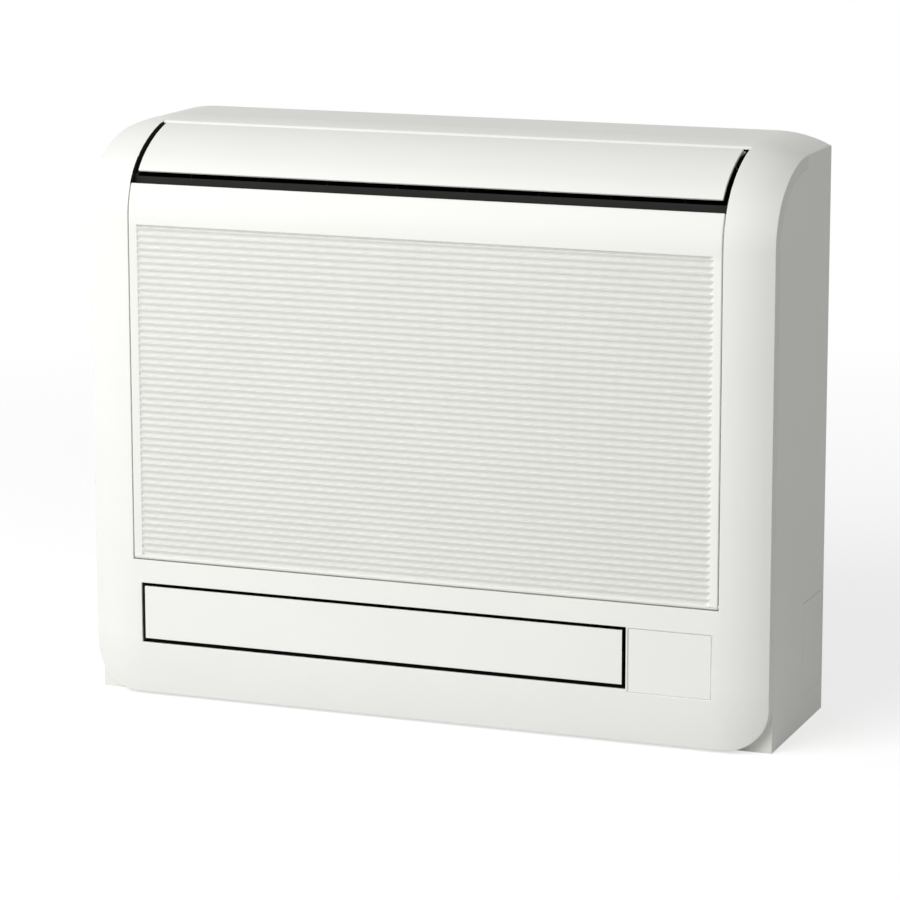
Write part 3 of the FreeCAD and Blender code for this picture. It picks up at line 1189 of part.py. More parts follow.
def make_receiver():
    """Plate set back in its window, with a flange behind the skin and a small board on two posts."""
    gap = dim.receiver_gap
    x = (receiver_left + gap, receiver_left + dim.receiver_width - gap)
    z = (dim.receiver_bottom + gap, dim.receiver_bottom + dim.receiver_height - gap)
    face = front + dim.receiver_recess
    rear = front + dim.cover_wall + dim.receiver_wall - dim.receiver_flange_wall
    plate = block("receiver_plate", x, (face, rear + dim.receiver_flange_wall), z)
    flange = block("receiver_flange", (x[0], x[1] + dim.receiver_flange), (rear, rear + dim.receiver_flange_wall),
                   (z[0] - dim.receiver_flange, z[1] + dim.receiver_flange))
    post_y = rear + dim.receiver_flange_wall
    middle = (z[0] + z[1]) / 2
    posts = [rod("receiver_stud", "Y", (place, post_y, middle), dim.receiver_post_radius, dim.receiver_post)
             for place in (x[0] + dim.receiver_post_inset, x[1] - dim.receiver_post_inset)]
    node(fuse("receiver_panel", plate, flange, *posts), "receiver_panel")
    inset = dim.receiver_board_inset
    board_y = post_y + dim.receiver_post
    node(block("receiver_board", (x[0] + inset, x[1] - inset), (board_y, board_y + dim.board_wall),
               (z[0] + inset, z[1] - inset)), "receiver_board")


make_rear_casing()
make_back_panel()
make_pipe_covers()
make_front_cover()
make_intake_grille()
make_upper_flap()
make_upper_flap_drive()
make_upper_duct()
make_vanes()
make_lower_flap()
make_lower_duct()
make_fan_housing()
make_fan()
make_fan_motor()
make_coil()
make_pipes()
make_drain_pan()
make_filters()
make_control_box()
make_receiver()
doc.recompute()

for obj in doc.Objects:
    if {"Invalid", "Error"} & set(obj.State):
        raise RuntimeError("%s did not build: %s" % (obj.Name, obj.State))
for obj in nodes:
    if obj.Shape.isNull() or not obj.Shape.isValid() or not obj.Shape.Solids:
        raise RuntimeError("%s has no valid solid" % obj.Label)

os.makedirs("parts", exist_ok=True)
for obj in nodes:
    obj.Shape.exportStep("parts/%s.step" % obj.Label)
    box = obj.Shape.BoundBox
    print("%-20s %2d solids %10.0f mm3  X %7.1f %7.1f  Y %7.1f %7.1f  Z %7.1f %7.1f" % (
        obj.Label, len(obj.Shape.Solids), obj.Shape.Volume, box.XMin, box.XMax, box.YMin, box.YMax, box.ZMin, box.ZMax))
print("%d nodes" % len(nodes))
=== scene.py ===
import bmesh
import bpy
import json
import math
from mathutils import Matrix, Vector

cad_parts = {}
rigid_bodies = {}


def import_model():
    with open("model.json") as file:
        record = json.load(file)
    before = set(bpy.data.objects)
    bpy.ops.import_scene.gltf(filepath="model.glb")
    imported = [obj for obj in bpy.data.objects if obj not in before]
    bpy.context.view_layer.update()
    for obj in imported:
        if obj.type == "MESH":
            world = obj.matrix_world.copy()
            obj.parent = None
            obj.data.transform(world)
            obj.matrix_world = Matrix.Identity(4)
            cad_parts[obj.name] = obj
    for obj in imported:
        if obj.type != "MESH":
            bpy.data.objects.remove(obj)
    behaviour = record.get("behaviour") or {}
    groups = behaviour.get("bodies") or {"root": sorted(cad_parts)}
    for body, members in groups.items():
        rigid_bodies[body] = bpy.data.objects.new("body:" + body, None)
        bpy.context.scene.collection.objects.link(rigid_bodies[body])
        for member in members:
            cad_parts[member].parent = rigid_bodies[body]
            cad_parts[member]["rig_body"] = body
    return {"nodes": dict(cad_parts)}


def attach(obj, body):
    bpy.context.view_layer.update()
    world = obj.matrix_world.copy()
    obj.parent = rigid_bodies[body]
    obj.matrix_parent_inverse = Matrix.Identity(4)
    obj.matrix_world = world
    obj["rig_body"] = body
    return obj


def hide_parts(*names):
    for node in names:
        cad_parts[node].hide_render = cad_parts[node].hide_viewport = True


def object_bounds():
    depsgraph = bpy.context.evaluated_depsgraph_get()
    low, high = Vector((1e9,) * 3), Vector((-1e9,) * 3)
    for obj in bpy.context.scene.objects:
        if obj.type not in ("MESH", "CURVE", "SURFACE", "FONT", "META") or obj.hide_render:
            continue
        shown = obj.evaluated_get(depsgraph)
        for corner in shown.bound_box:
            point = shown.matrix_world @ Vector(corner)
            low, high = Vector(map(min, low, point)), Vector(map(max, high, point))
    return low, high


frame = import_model()
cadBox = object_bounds()
nodes = frame["nodes"]
scene = bpy.context.scene
mm = 0.001
waveTurn = 20.0  # radians that a wave texture runs per unit
mixDark, mixLight, mixResult = 6, 7, 2  # colour sockets of a Mix node
print("stage: frame loaded,", len(nodes), "nodes")


# sRGB hex to linear
def linearHex(code):
    parts = [int(code[i:i + 2], 16) / 255 for i in (1, 3, 5)]
    return [p / 12.92 if p <= 0.04045 else ((p + 0.055) / 1.055) ** 2.4 for p in parts] + [1.0]


# texture scale that makes its pattern a real width
def perWidth(widthMm):
    return 1 / (widthMm * mm)


# wave texture scale that sets its bands a real width apart
def perBand(widthMm):
    return 2 * math.pi / waveTurn / (widthMm * mm)


# one node with its settings, then its incoming links as {input: (node, output)}
def addNode(tree, kind, settings=None, links=None):
    node = tree.nodes.new(kind)
    for key, value in (settings or {}).items():
        if isinstance(key, int) or key in node.inputs:
            node.inputs[key].default_value = value
        else:
            setattr(node, key, value)
    for key, source in (links or {}).items():
        tree.links.new(source[0].outputs[source[1]], node.inputs[key])
    return node


# the node tree of a material or world, cleared
def emptyTree(owner):
    owner.use_nodes = True
    owner.node_tree.nodes.clear()
    return owner.node_tree


# a shader with faint tone drift, fine bump and roughness drift, all in real sizes
def patternedFinish(name, spec):
    material = bpy.data.materials.new(name)
    tree = emptyTree(material)
    place = addNode(tree, "ShaderNodeTexCoord")
    drift = addNode(tree, "ShaderNodeTexNoise", {"Scale": perWidth(spec["driftMm"]), "Detail": 3.0},
                    {"Vector": (place, "Object")})
    tone = addNode(tree, "ShaderNodeMix",
                   {"data_type": "RGBA", "clamp_factor": True,
                    mixDark: linearHex(spec["dark"]), mixLight: linearHex(spec["light"])},
                   {"Factor": (drift, "Fac")})
    rough = addNode(tree, "ShaderNodeMapRange",
                    {"To Min": spec["roughness"] - spec["roughSpan"],
                     "To Max": spec["roughness"] + spec["roughSpan"]},
                    {"Value": (drift, "Fac")})
    grain = addNode(tree, "ShaderNodeTexNoise", {"Scale": perWidth(spec["grainMm"]), "Detail": 2.0},
                    {"Vector": (place, "Object")})
    bump = addNode(tree, "ShaderNodeBump", {"Strength": spec["bump"], "Distance": spec["bumpMm"] * mm},
                   {"Height": (grain, "Fac")})
    shader = addNode(tree, "ShaderNodeBsdfPrincipled",
                     {"Metallic": spec.get("metallic", 0.0), "IOR": spec.get("ior", 1.5),
                      "Roughness": spec["roughness"]},
                     {"Base Color": (tone, mixResult), "Roughness": (rough, "Result"),
                      "Normal": (bump, "Normal")})
    addNode(tree, "ShaderNodeOutputMaterial", None, {"Surface": (shader, "BSDF")})
    return material, tree, {"place": place, "tone": tone, "bump": bump}


def plainFinish(name, spec):
    return patternedFinish(name, spec)[0]


# moulded ABS, spark-eroded tool: warm white, satin, with a fine grain that only softens the gloss
whiteAbs = plainFinish("whiteMouldedAbs", {
    "dark": "#f1f1ed", "light": "#f5f5f1", "roughness": 0.62, "roughSpan": 0.04, "ior": 1.53,
    "driftMm": 90, "grainMm": 1.1, "bump": 0.05, "bumpMm": 0.05})
# casing: the same ABS from a coarser tool, a little greyer
casingAbs = plainFinish("whiteCasingAbs", {
    "dark": "#ecece6", "light": "#f1f1eb", "roughness": 0.5, "roughSpan": 0.05, "ior": 1.53,
    "driftMm": 120, "grainMm": 1.2, "bump": 0.07, "bumpMm": 0.05})
# louvres: the same ABS with a duller face, painted greyer than the frame round them as painted shade of the
# grooves between the slats
louvrePaintedShadeAbs = plainFinish("whiteLouvreAbsPaintedShade", {
    "dark": "#e7e7e3", "light": "#ebebe7", "roughness": 0.66, "roughSpan": 0.04, "ior": 1.5,
    "driftMm": 90, "grainMm": 1.1, "bump": 0.05, "bumpMm": 0.05})
# near-black ABS of the air channels with a flocked face, next to no gloss; its darkness is partly painted
# shade that keeps the outlet slot and door gap dark, and on gap walls, flap lugs and the fan housing it is
# painted shade only
darkAbsAndPaintedShade = plainFinish("blackChannelAbsPaintedShade", {
    "dark": "#2a2a29", "light": "#323231", "roughness": 0.78, "roughSpan": 0.06, "ior": 1.18,
    "driftMm": 40, "grainMm": 0.9, "bump": 0.15, "bumpMm": 0.05})
# grey polypropylene of fan and filter frames: waxy
greyPlastic = plainFinish("greyPolypropylene", {
    "dark": "#8f9294", "light": "#9b9ea0", "roughness": 0.48, "roughSpan": 0.05, "ior": 1.49,
    "driftMm": 50, "grainMm": 0.8, "bump": 0.08, "bumpMm": 0.05})
# turned and plated steel: bright, faint marks
brightSteel = plainFinish("platedSteel", {
    "dark": "#a9abad", "light": "#c4c6c8", "roughness": 0.3, "roughSpan": 0.06, "metallic": 1.0,
    "driftMm": 6, "grainMm": 0.4, "bump": 0.06, "bumpMm": 0.03})
# drawn copper: warm, dull where it has oxidised
copper = plainFinish("drawnCopper", {
    "dark": "#9c5a3c", "light": "#c98560", "roughness": 0.34, "roughSpan": 0.1, "metallic": 1.0,
    "driftMm": 18, "grainMm": 0.6, "bump": 0.06, "bumpMm": 0.03})
# machined brass: yellow, bright
brass = plainFinish("machinedBrass", {
    "dark": "#a88542", "light": "#c9a659", "roughness": 0.3, "roughSpan": 0.05, "metallic": 1.0,
    "driftMm": 8, "grainMm": 0.4, "bump": 0.05, "bumpMm": 0.03})
# moulded rubber: black and dull
rubber = plainFinish("mouldedRubber", {
    "dark": "#141414", "light": "#1c1c1b", "roughness": 0.8, "roughSpan": 0.05, "ior": 1.52,
    "driftMm": 12, "grainMm": 0.5, "bump": 0.2, "bumpMm": 0.05})
# natural acetal: milky and slick
acetal = plainFinish("naturalAcetal", {
    "dark": "#dcdcd4", "light": "#e6e6df", "roughness": 0.3, "roughSpan": 0.04, "ior": 1.48,
    "driftMm": 15, "grainMm": 0.6, "bump": 0.04, "bumpMm": 0.03})
# black acetal of the flap bearings, half dull; its darkness is also painted shade, so that the bushes don't
# show in the flap gaps
blackAcetalPaintedShade = plainFinish("blackAcetalPaintedShade", {
    "dark": "#121212", "light": "#181818", "roughness": 0.45, "roughSpan": 0.04, "ior": 1.48,
    "driftMm": 15, "grainMm": 0.6, "bump": 0.04, "bumpMm": 0.03})
# steel pins with a black oxide skin, a dark soft sheen; its darkness is also painted shade, so that the pins
# don't show in the flap gaps
blackSteelPaintedShade = plainFinish("blackOxideSteelPaintedShade", {
    "dark": "#1b1b1d", "light": "#28282a", "roughness": 0.45, "roughSpan": 0.06, "metallic": 1.0,
    "driftMm": 6, "grainMm": 0.4, "bump": 0.06, "bumpMm": 0.03})
# pressed black phenolic: dark with some gloss
phenolic = plainFinish("blackPhenolic", {
    "dark": "#151516", "light": "#202022", "roughness": 0.38, "roughSpan": 0.05, "ior": 1.6,
    "driftMm": 14, "grainMm": 0.5, "bump": 0.08, "bumpMm": 0.03})

bands = {"wave_type": "BANDS", "wave_profile": "SIN", "Distortion": 0.0}  # straight, even threads or edges


# galvanised sheet: dull zinc with a spangle
def makeGalvanised():
    spec = {"dark": "#9a9c9d", "light": "#b9bbbc", "roughness": 0.42, "roughSpan": 0.08, "metallic": 1.0,
            "driftMm": 25, "grainMm": 0.7, "bump": 0.05, "bumpMm": 0.03, "spangleMm": 9}
    material, tree, made = patternedFinish("galvanisedSheet", spec)
    spangle = addNode(tree, "ShaderNodeTexVoronoi", {"Scale": perWidth(spec["spangleMm"])},
                      {"Vector": (made["place"], "Object")})
    tree.links.new(spangle.outputs["Color"], made["tone"].inputs["Factor"])
    return material


# aluminium fins: edges every 1.4 mm, drawn at 2.8 mm so that they show; the dark bands between the light
# edges are painted shade of the gaps between fins
def makeFins():
    spec = {"dark": "#8d9298", "light": "#d2d6da", "roughness": 0.36, "roughSpan": 0.05, "metallic": 1.0,
            "driftMm": 30, "grainMm": 0.6, "bump": 0.5, "bumpMm": 0.6, "finMm": 2.8}
    material, tree, made = patternedFinish("aluminiumFins", spec)
    edges = addNode(tree, "ShaderNodeTexWave",
                    {**bands, "bands_direction": "X", "Scale": perBand(spec["finMm"])},
                    {"Vector": (made["place"], "Object")})
    tree.links.new(edges.outputs["Fac"], made["tone"].inputs["Factor"])
    tree.links.new(edges.outputs["Fac"], made["bump"].inputs["Height"])
    return material


# woven filter net: threads every 1 mm, drawn at 3 mm so that they show
def makeNet():
    spec = {"dark": "#17191b", "light": "#3a3f44", "roughness": 0.75, "roughSpan": 0.05, "ior": 1.5,
            "driftMm": 30, "grainMm": 0.6, "bump": 0.6, "bumpMm": 0.4, "threadMm": 3}
    material, tree, made = patternedFinish("wovenFilterNet", spec)
    warp, weft = [addNode(tree, "ShaderNodeTexWave",
                          {**bands, "bands_direction": direction, "Scale": perBand(spec["threadMm"])},
                          {"Vector": (made["place"], "Object")}) for direction in ("X", "Z")]
    weave = addNode(tree, "ShaderNodeMath", {"operation": "MAXIMUM"}, {0: (warp, "Fac"), 1: (weft, "Fac")})
    tree.links.new(weave.outputs["Value"], made["tone"].inputs["Factor"])
    tree.links.new(weave.outputs["Value"], made["bump"].inputs["Height"])
    return material


# lacquered circuit board: lighter copper lands under the green, two to a 10 mm tile
def makeBoard():
    spec = {"dark": "#0f4a2a", "light": "#2b7a4b", "roughness": 0.3, "roughSpan": 0.05, "ior": 1.55,
            "driftMm": 30, "grainMm": 0.6, "bump": 0.05, "bumpMm": 0.05, "tileMm": 10, "landGap": 0.06}
    material, tree, made = patternedFinish("lacqueredBoard", spec)
    lands = addNode(tree, "ShaderNodeTexBrick",
                    {"Scale": perWidth(spec["tileMm"]), "Mortar Size": spec["landGap"]},
                    {"Vector": (made["place"], "Object")})
    tree.links.new(lands.outputs["Fac"], made["tone"].inputs["Factor"])
    return material


galvanised = makeGalvanised()
fins = makeFins()
net = makeNet()
board = makeBoard()
print("stage: materials made")

# what counts in a mesh as one point, as flat, sharp or smooth, and as a wall that looks along x
reading = {"mergeMm": 0.0005, "flatDegrees": 0.2, "sharpDegrees": 24, "smoothDegrees": 40,
           "endFacing": 0.9, "normalWeight": 90}
# faces in this slot carry painted shade: black walls inside gaps, and the greyer louvres
paintedShadeSlot = 1  # second material of a piece
unitMiddle = (Vector(cadBox[0]) + Vector(cadBox[1])) / 2
rearY = cadBox[1][1] / mm
# corners in mm just outside the unit and just inside it, and a hair to each side of a plane
spare, hair = 1.0, 0.1
outLow, outHigh = [c / mm - spare for c in cadBox[0]], [c / mm + spare for c in cadBox[1]]
inLow, inHigh = [c / mm + spare for c in cadBox[0]], [c / mm - spare for c in cadBox[1]]


# edges between two faces that bend by more than an angle
def sharpEdges(work, degrees):
    return [e for e in work.edges if len(e.link_faces) == 2 and e.calc_face_angle() > math.radians(degrees)]


def roundEdges(work, edges, offset, segments, clamp=False):
    bmesh.ops.bevel(work, geom=edges, offset=offset, offset_type="OFFSET", affect="EDGES",
                    segments=segments, profile=0.5, material=-1, clamp_overlap=clamp)


# both ends of an edge in a box given in mm as (low, high)
def inBox(edge, box):
    return all(a <= c / mm <= b for v in edge.verts for a, c, b in zip(box[0], v.co, box[1]))


# the middle of a face in a box given in mm as (low, high)
def faceIn(face, box):
    return all(a < c / mm < b for a, c, b in zip(box[0], face.calc_center_median(), box[1]))


# both faces of an edge look away from the unit's middle
def facesOut(edge):
    away = (edge.verts[0].co + edge.verts[1].co) / 2 - unitMiddle
    return all(f.normal.dot(away) > 0 for f in edge.link_faces)


def looksAlongX(face):
    return abs(face.normal.x) > reading["endFacing"]


# a box at the left end and its mirror image at the right end
def bothEnds(low, high):
    return [(low, high), ((-high[0], *low[1:]), (-low[0], *high[1:]))]


# a thin box across the whole unit at one depth, up from a height
def slabAt(y, lowZ=outLow[2], reach=hair):
    return (outLow[0], y - reach, lowZ), (outHigh[0], y + reach, outHigh[2])


# end walls cut at the foot of a box, and painted black inside it as painted shade of the gap
def shadeWalls(work, box):
    low, high = box
    walls = [f for f in work.faces
             if looksAlongX(f) and low[0] < f.calc_center_median().x / mm < high[0]]
    parts = set(walls) | {e for f in walls for e in f.edges} | {v for f in walls for v in f.verts}
    bmesh.ops.bisect_plane(work, geom=list(parts), plane_co=(0, 0, low[2] * mm), plane_no=(0, 0, 1))
    for face in work.faces:
        if looksAlongX(face) and faceIn(face, box):
            face.material_index = paintedShadeSlot


# bmesh to a shaded piece that rides on its CAD node's body, with that node hidden
def finishPiece(name, work, nodeName, smoothDegrees=reading["smoothDegrees"]):
    mesh = bpy.data.meshes.new(name)
    for face in work.faces:
        face.smooth = True
    for edge in work.edges:
        edge.smooth = len(edge.link_faces) != 2 or edge.calc_face_angle() < math.radians(smoothDegrees)
    work.to_mesh(mesh)
    work.free()
    piece = bpy.data.objects.new(name, mesh)
    scene.collection.objects.link(piece)
    weighted = piece.modifiers.new("evenNormals", "WEIGHTED_NORMAL")
    weighted.keep_sharp = True
    weighted.weight = reading["normalWeight"]
    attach(piece, nodes[nodeName]["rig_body"])
    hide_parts(nodeName)
    return piece


# the mesh of a CAD node, merged, its flat triangles joined and its sharp edges rounded
def softenedNode(nodeName, spec):
    work = bmesh.new()
    work.from_mesh(nodes[nodeName].data)
    bmesh.ops.remove_doubles(work, verts=work.verts, dist=reading["mergeMm"] * mm)
    bmesh.ops.dissolve_limit(work, angle_limit=math.radians(reading["flatDegrees"]),
                             use_dissolve_boundaries=False, verts=work.verts, edges=work.edges, delimit=set())
    for box in spec.get("shade", []):
        shadeWalls(work, box)
    for roll in spec.get("rolls", []):
        chosen = [e for e in sharpEdges(work, reading["sharpDegrees"])
                  if inBox(e, roll["box"]) and (facesOut(e) or not roll.get("outer"))
                  and e.calc_face_angle() < math.radians(roll.get("mostDegrees", 180))]
        roundEdges(work, chosen, roll["edgeMm"] * mm, roll["segments"])
    sharp = [e for e in sharpEdges(work, reading["sharpDegrees"])
             if not any(inBox(e, box) for box in spec.get("leave", []))]
    roundEdges(work, sharp, spec["edgeMm"] * mm, spec["segments"], spec.get("clamp", False))
    for box in spec.get("paintedShadeFaces", []):
        for face in work.faces:
            if faceIn(face, box):
                face.material_index = paintedShadeSlot
    return finishPiece(nodeName + "Soft", work, nodeName)


# a material on the whole piece, and a second one, the painted shade, for its marked faces
def dress(piece, material, second=None):
    piece.data.materials.append(material)
    if second:
        piece.data.materials.append(second)


# moulded shells of the outside, taken from their solids with rounded edges
# rolls are wider roundings, shade and lining are walls inside a gap, painted black as painted shade so that
# the gap stays dark
shells = {
    # rolled front edge of the lip over the flap, rim of the receiver's recess, and jambs beside the flap
    # painted black as painted shade
    "front_cover": {
        "skin": whiteAbs, "edgeMm": 0.7, "segments": 3,
        "rolls": [
            {"box": ((-320, -14.2, 595), (320, -13.8, 597.5)), "outer": True, "edgeMm": 2.2, "segments": 4},
            {"box": ((224.9, -105.1, 56.2), (311.3, -104.5, 122.2)), "edgeMm": 1.2, "segments": 6}],
        "shade": bothEnds((-319, outLow[1], 541), (-318.2, 20, outHigh[2]))},
    # rounded outer edges at the wall side and along the crown, but not the inner rim at the back; its faces
    # at the top of the flap gaps are painted black as painted shade
    "rear_casing": {
        "skin": casingAbs, "edgeMm": 0.7, "segments": 3,
        "rolls": [
            {"box": slabAt(rearY), "outer": True, "edgeMm": 2.2, "segments": 4},
            {"box": ((outLow[0], 16.9, 580), (outHigh[0], 103, outHigh[2])), "outer": True,
             "edgeMm": 1.8, "segments": 4, "mostDegrees": 82}],
        "leave": [((inLow[0], rearY - hair, inLow[2]), (inHigh[0], rearY + hair, inHigh[2]))],
        "paintedShadeFaces": [slabAt(17, lowZ=560)]},
    # its inner face shows through the gaps and is painted black as painted shade
    "back_panel": {
        "skin": casingAbs, "edgeMm": 0.3, "segments": 2,
        "paintedShadeFaces": [slabAt(102.5, reach=2 * hair)]},
    "pipe_cover_left": {"skin": casingAbs, "edgeMm": 0.3, "segments": 2, "clamp": True},
    "pipe_cover_right": {"skin": casingAbs, "edgeMm": 0.3, "segments": 2, "clamp": True},
    # end walls and pivot lugs painted black as painted shade in the gaps
    "upper_flap": {
        "skin": whiteAbs, "edgeMm": 0.7, "segments": 3,
        "shade": bothEnds((-312.2, outLow[1], 540), (-311.8, 20, outHigh[2])),
        "paintedShadeFaces": bothEnds((-313.2, -45, 560), (-310.5, -20, 580))},
    # end walls and pivot lugs painted black as painted shade in the gaps
    "lower_flap": {
        "skin": whiteAbs, "edgeMm": 0.6, "segments": 3,
        "shade": [((-306.4, outLow[1], 60), (-306, 0, 125)), ((218.8, outLow[1], 60), (219.2, 0, 125))],
        "paintedShadeFaces": [((-306.3, -98, 84), (-300, -90, 100)), ((213, -98, 84), (219.3, -90, 100))]},
    "receiver_panel": {"skin": whiteAbs, "edgeMm": 0.35, "segments": 2},
}
for nodeName, spec in shells.items():
    hasPaintedShade = "shade" in spec or "paintedShadeFaces" in spec
    dress(softenedNode(nodeName, spec), spec["skin"], darkAbsAndPaintedShade if hasPaintedShade else None)
print("stage: shells softened")


# intake grille in mm: a frame bent over the shoulder, slats with round noses, and what holds them
grille = {
    "half": 317.6, "fieldHalf": 308.0, "bottom": 148.2, "fieldBottom": 152.4, "headerBottom": 499.5,
    "frontY": -105.0, "wall": 5.0, "shoulderY": -25.0, "shoulderZ": 506.0, "shoulderR": 80.0, "top": 542.0,
    "bendSteps": 14, "borderSlope": 1.0, "slopeEnd": 4.0,
    "sharpDegrees": 50, "smoothDegrees": 50,
    "edge": 1.3, "edgeSegments": 3, "footEdge": 3.2, "footSegments": 5,
    # slat outline as (y, z) from its low front corner, round the nose to its back
    "slat": [(-103.2, 0), (-104.6, 3.1), (-101.6, 3.5), (-102.6, 7.3), (-97.5, 10.5), (-97.5, 6)],
    "pitch": 7.05, "noseRound": 0.7, "noseSegments": 4, "slatTuck": 1.0,
    "ribPlaces": (-2, -1, 0, 1, 2), "ribPitch": 100.0, "ribWall": 1.6, "ribY": (-101.0, -93.0),
    "railWall": 3.0, "railGap": 0.2, "railBite": 0.5, "railFoot": 4.0, "railHead": 1.0,
    "rampY": (-103.0, -101.2), "rampWide": 5.0,
    "touch": 0.01,
}


def vertsOf(made):
    return [v for v in made["geom"] if isinstance(v, bmesh.types.BMVert)]


# faces drawn out by a step
def drawOut(work, faces, step):
    made = bmesh.ops.extrude_face_region(work, geom=faces)
    bmesh.ops.translate(work, verts=vertsOf(made), vec=step)


def grilleFrame(work, spec):
    xs = [-spec["half"], -spec["fieldHalf"], spec["fieldHalf"], spec["half"]]
    angle = math.asin((spec["top"] - spec["shoulderZ"]) / spec["shoulderR"])
    bend = [spec["shoulderZ"] + spec["shoulderR"] * angle * i / spec["bendSteps"]
            for i in range(spec["bendSteps"] + 1)]
    slopeZ = (spec["fieldBottom"] + spec["slopeEnd"], spec["headerBottom"] - spec["slopeEnd"])
    zs = [spec["bottom"], spec["fieldBottom"], *slopeZ, spec["headerBottom"]] + bend
    rows = [[work.verts.new((x, spec["frontY"], z)) for x in xs] for z in zs]
    fieldRows, slopeRows = (1, 2, 3), rows[2:4]
    cells = []
    for low, (rowA, rowB) in enumerate(zip(rows, rows[1:])):
        for side in range(3):
            if low in fieldRows and side == 1:
                continue  # the louvre field is open
            cells.append(work.faces.new((rowA[side], rowA[side + 1], rowB[side + 1], rowB[side])))
    drawOut(work, cells, (0, spec["wall"], 0))
    bmesh.ops.recalc_face_normals(work, faces=work.faces)
    # side borders slope in towards the field
    for v in [row[side] for row in slopeRows for side in (1, 2)]:
        v.co.y += spec["borderSlope"]
    # header bends back over the shoulder
    for v in work.verts:
        if v.co.z > spec["shoulderZ"]:
            turn = (v.co.z - spec["shoulderZ"]) / spec["shoulderR"]
            radius = spec["shoulderY"] - v.co.y
            v.co.y = spec["shoulderY"] - radius * math.cos(turn)
            v.co.z = spec["shoulderZ"] + radius * math.sin(turn)
    foot = [e for e in sharpEdges(work, spec["sharpDegrees"])
            if all(abs(v.co.z - spec["bottom"]) < spec["touch"] and v.co.y < spec["frontY"] + spec["touch"]
                   for v in e.verts)]
    roundEdges(work, foot, spec["footEdge"], spec["footSegments"])
    roundEdges(work, sharpEdges(work, spec["sharpDegrees"]), spec["edge"], spec["edgeSegments"])
    # rounding a sloped border can swell past the front plane
    for v in work.verts:
        v.co.y = max(v.co.y, spec["frontY"])


# one slat from its outline, round nose, then copies up the field
def grilleSlats(work, spec):
    (lowY, _), (_, noseTall) = spec["slat"][:2]
    count = int((spec["headerBottom"] - spec["fieldBottom"]) / spec["pitch"]) + 1
    base = spec["headerBottom"] - spec["pitch"] * count + (spec["pitch"] - noseTall) / 2
    reach = spec["fieldHalf"] + spec["slatTuck"]
    corners = [work.verts.new((-reach, y, base + z)) for y, z in spec["slat"]]
    drawOut(work, [work.faces.new(corners)], (2 * reach, 0, 0))
    bmesh.ops.recalc_face_normals(work, faces=work.faces)
    nose = [e for e in work.edges
            if abs(e.verts[0].co.x - e.verts[1].co.x) > reach and e.verts[0].co.y < lowY + spec["touch"]]
    roundEdges(work, nose, spec["noseRound"], spec["noseSegments"])
    first = list(work.verts) + list(work.edges) + list(work.faces)
    for i in range(1, count):
        copy = bmesh.ops.duplicate(work, geom=first)
        bmesh.ops.translate(work, verts=vertsOf(copy), vec=(0, 0, spec["pitch"] * i))


def boxInto(work, low, high):
    made = bmesh.ops.create_cube(work, size=1.0)
    size = [b - a for a, b in zip(low, high)]
    middle = [(a + b) / 2 for a, b in zip(low, high)]
    bmesh.ops.scale(work, verts=made["verts"], vec=size)
    bmesh.ops.translate(work, verts=made["verts"], vec=middle)


# ribs behind the slats, rails behind the borders, and ramps where the grooves run out
def grilleBack(work, spec):
    frontY, backY = spec["ribY"]
    for place in spec["ribPlaces"]:
        x = spec["ribPitch"] * place
        boxInto(work, (x - spec["ribWall"] / 2, frontY, spec["fieldBottom"]),
                (x + spec["ribWall"] / 2, backY, spec["headerBottom"]))
    for side in (-1, 1):
        edgeX = side * (spec["fieldHalf"] + spec["railGap"])
        low, high = sorted((edgeX, side * (spec["fieldHalf"] + spec["railWall"])))
        railY = spec["frontY"] + spec["wall"] - spec["railBite"]
        boxInto(work, (low, railY, spec["bottom"] + spec["railFoot"]),
                (high, backY, spec["headerBottom"] + spec["railHead"]))
        ramp = [(edgeX, spec["rampY"][0]), (edgeX, spec["rampY"][1]),
                (edgeX - side * spec["rampWide"], spec["rampY"][1])]
        foot = work.faces.new([work.verts.new((x, y, spec["fieldBottom"])) for x, y in ramp])
        drawOut(work, [foot], (0, 0, spec["headerBottom"] - spec["fieldBottom"]))
    bmesh.ops.recalc_face_normals(work, faces=work.faces)


def makeGrille(spec):
    whole = bmesh.new()
    scratch = bpy.data.meshes.new("scratchGrille")
    # the frame keeps the first material; slats, ribs, rails and ramps take the second, greyer one, which is
    # painted shade of the grooves
    for builder, slot in ((grilleFrame, 0), (grilleSlats, paintedShadeSlot), (grilleBack, paintedShadeSlot)):
        work = bmesh.new()
        builder(work, spec)
        for face in work.faces:
            face.material_index = slot
        work.to_mesh(scratch)
        work.free()
        whole.from_mesh(scratch)
    bpy.data.meshes.remove(scratch)
    bmesh.ops.scale(whole, verts=whole.verts, vec=(mm, mm, mm))
    return finishPiece("louvredGrille", whole, "intake_grille", spec["smoothDegrees"])


dress(makeGrille(grille), whiteAbs, louvrePaintedShadeAbs)
print("stage: grille made")

